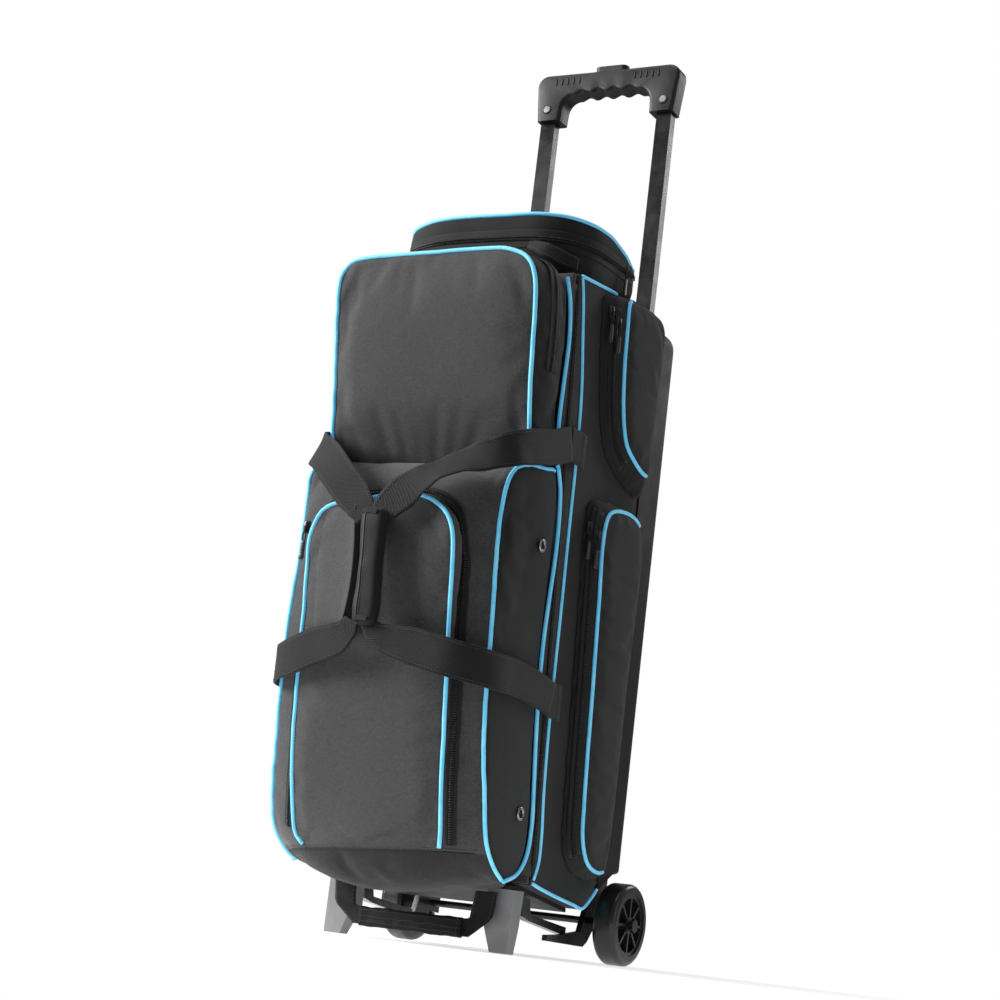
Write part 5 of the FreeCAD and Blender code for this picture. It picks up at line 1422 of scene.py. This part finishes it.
def make_shell():
    """The moulded back shell, with round upper corners and open towards the cloth body."""
    made = shell_form("back_shell_moulding", 0.0, 138.0)
    cutters = [shell_form("shell_hollow", SHELL_WALL, 120.0)]
    for side, _ in SIDES:
        hole = Shape()
        hole.loft([[vec(side * TUBE_X + x, TUBE_Y + y, z) for x, y in ((-12, -8.9), (12, -8.9), (12, 8.9), (-12, 8.9))]
                   for z in (713, 743)])
        cutters.append(hole.solid("tube_hole", [SHELL]))
    for cutter in cutters:
        bake(made, "BOOLEAN", operation="DIFFERENCE", solver="EXACT", object=cutter)
        bpy.data.objects.remove(cutter)
    made.data.set_sharp_from_angle(angle=math.radians(32))
    place(made, "bag", "shell_plastic", "back_shell")


# ---------------------------------------------------------------- carried-over CAD parts

def finish_cad_parts():
    for material, names in (
            (BRACKET, "axle_bracket_left axle_bracket_right axle_nuts wheel_axle base_rails"),
            (FOAM, "ball_cradle ball_shelves"), (SHELL, "base_tray"), (FOOT, "front_foot_left front_foot_right"),
            (BOLT, "grip_bolts"), (TUBE, "inner_tube_left inner_tube_right outer_tube_left outer_tube_right"),
            (GRIP, "release_button tube_collars tube_end_stops"), (TYRE, "tyre_left tyre_right"),
            (HUB, "hub_left hub_right")):
        for name in names.split():
            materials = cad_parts[name].data.materials
            if not materials:
                materials.append(material)
            for index in range(len(materials)):
                materials[index] = material


# ---------------------------------------------------------------- stage

def area_light(name, spot, target, size, power):
    lamp = bpy.data.lights.new(name, "AREA")
    lamp.shape = "RECTANGLE"
    lamp.size, lamp.size_y = size
    lamp.energy = power
    made = bpy.data.objects.new(name, lamp)
    made.location = spot
    made.rotation_euler = (Vector(target) - Vector(spot)).to_track_quat("-Z", "Y").to_euler()
    bpy.context.scene.collection.objects.link(made)


def make_stage():
    shape = Shape()
    rows = [circle(Vector(), radius, 48, vec(1, 0, 0), vec(0, 1, 0))
            for radius in (200, 600, 1200, 2000, 3000, 4500, 5200)]
    shape.grid(rows, 0, round_rows=True, flip=True)
    shape.face(shape.add(rows[0]))
    floor = shape.solid("pale_floor", [floor_material()], weld=0.5)
    floor.location.z = -0.0004
    world = bpy.data.worlds.new("soft_white")
    world.use_nodes = True
    tree = world.node_tree
    back, seen, glow = tree.nodes["Background"], *(tree.nodes.new(kind) for kind in (
        "ShaderNodeLightPath", "ShaderNodeMapRange"))
    back.inputs[0].default_value = (1, 1, 1, 1)
    glow.inputs["To Min"].default_value, glow.inputs["To Max"].default_value = 0.18, 1.0
    tree.links.new(seen.outputs["Is Camera Ray"], glow.inputs["Value"])
    tree.links.new(glow.outputs[0], back.inputs[1])
    bpy.context.scene.world = world
    bpy.context.scene.view_settings.view_transform = "Standard"
    area_light("key", (-2.8, -1.7, 1.8), (0, 0, 0.5), (1.3, 1.7), 205)
    area_light("top", (-0.2, -0.6, 3.0), (0, 0, 0.5), (1.4, 1.4), 26)
    area_light("fill", (2.9, -0.3, 1.1), (0, 0, 0.45), (1.2, 2.0), 6.5)
    area_light("rim", (1.0, 2.6, 1.9), (0, 0.1, 0.7), (0.5, 1.3), 14)


def make_camera():
    azimuth, elevation, roll = math.radians(29.17), math.radians(-11.61), math.radians(6.91)
    right = vec(math.cos(azimuth), math.sin(azimuth), 0)
    back = vec(math.sin(azimuth) * math.cos(elevation), -math.cos(azimuth) * math.cos(elevation),
               math.sin(elevation))
    up = back.cross(right).normalized()
    x_axis = right * math.cos(roll) + up * math.sin(roll)
    y_axis = up * math.cos(roll) - right * math.sin(roll)
    data = bpy.data.cameras.new("camera")
    data.lens, data.sensor_width = 74.5, 36
    data.clip_start, data.clip_end = 0.05, 60
    camera = bpy.data.objects.new("camera", data)
    rotation = Matrix((x_axis, y_axis, back)).transposed().to_4x4()
    camera.matrix_world = Matrix.Translation(vec(1.1140, -1.9571, 0.0253)) @ rotation
    bpy.context.scene.collection.objects.link(camera)
    bpy.context.scene.camera = camera


make_camera()
make_stage()
lower_cloth = make_lower_pocket()
upper_cloth, upper_rim, upper_base = make_upper_pocket()
flap_cloth, flap_rim = make_flap()
make_door_panel()
make_body()
make_body_trim()
make_door_trim(lower_cloth, upper_cloth, upper_rim, flap_cloth, flap_rim)
make_flap_zipper(flap_rim, lower_cloth)
make_upper_pocket_zipper(upper_rim, upper_base)
make_side_pockets()
make_top()
make_straps()
make_grip_wrap(flap_cloth)
make_carry_handle()
make_pulls()
make_grommets()
make_grip()
make_shell()
finish_cad_parts()
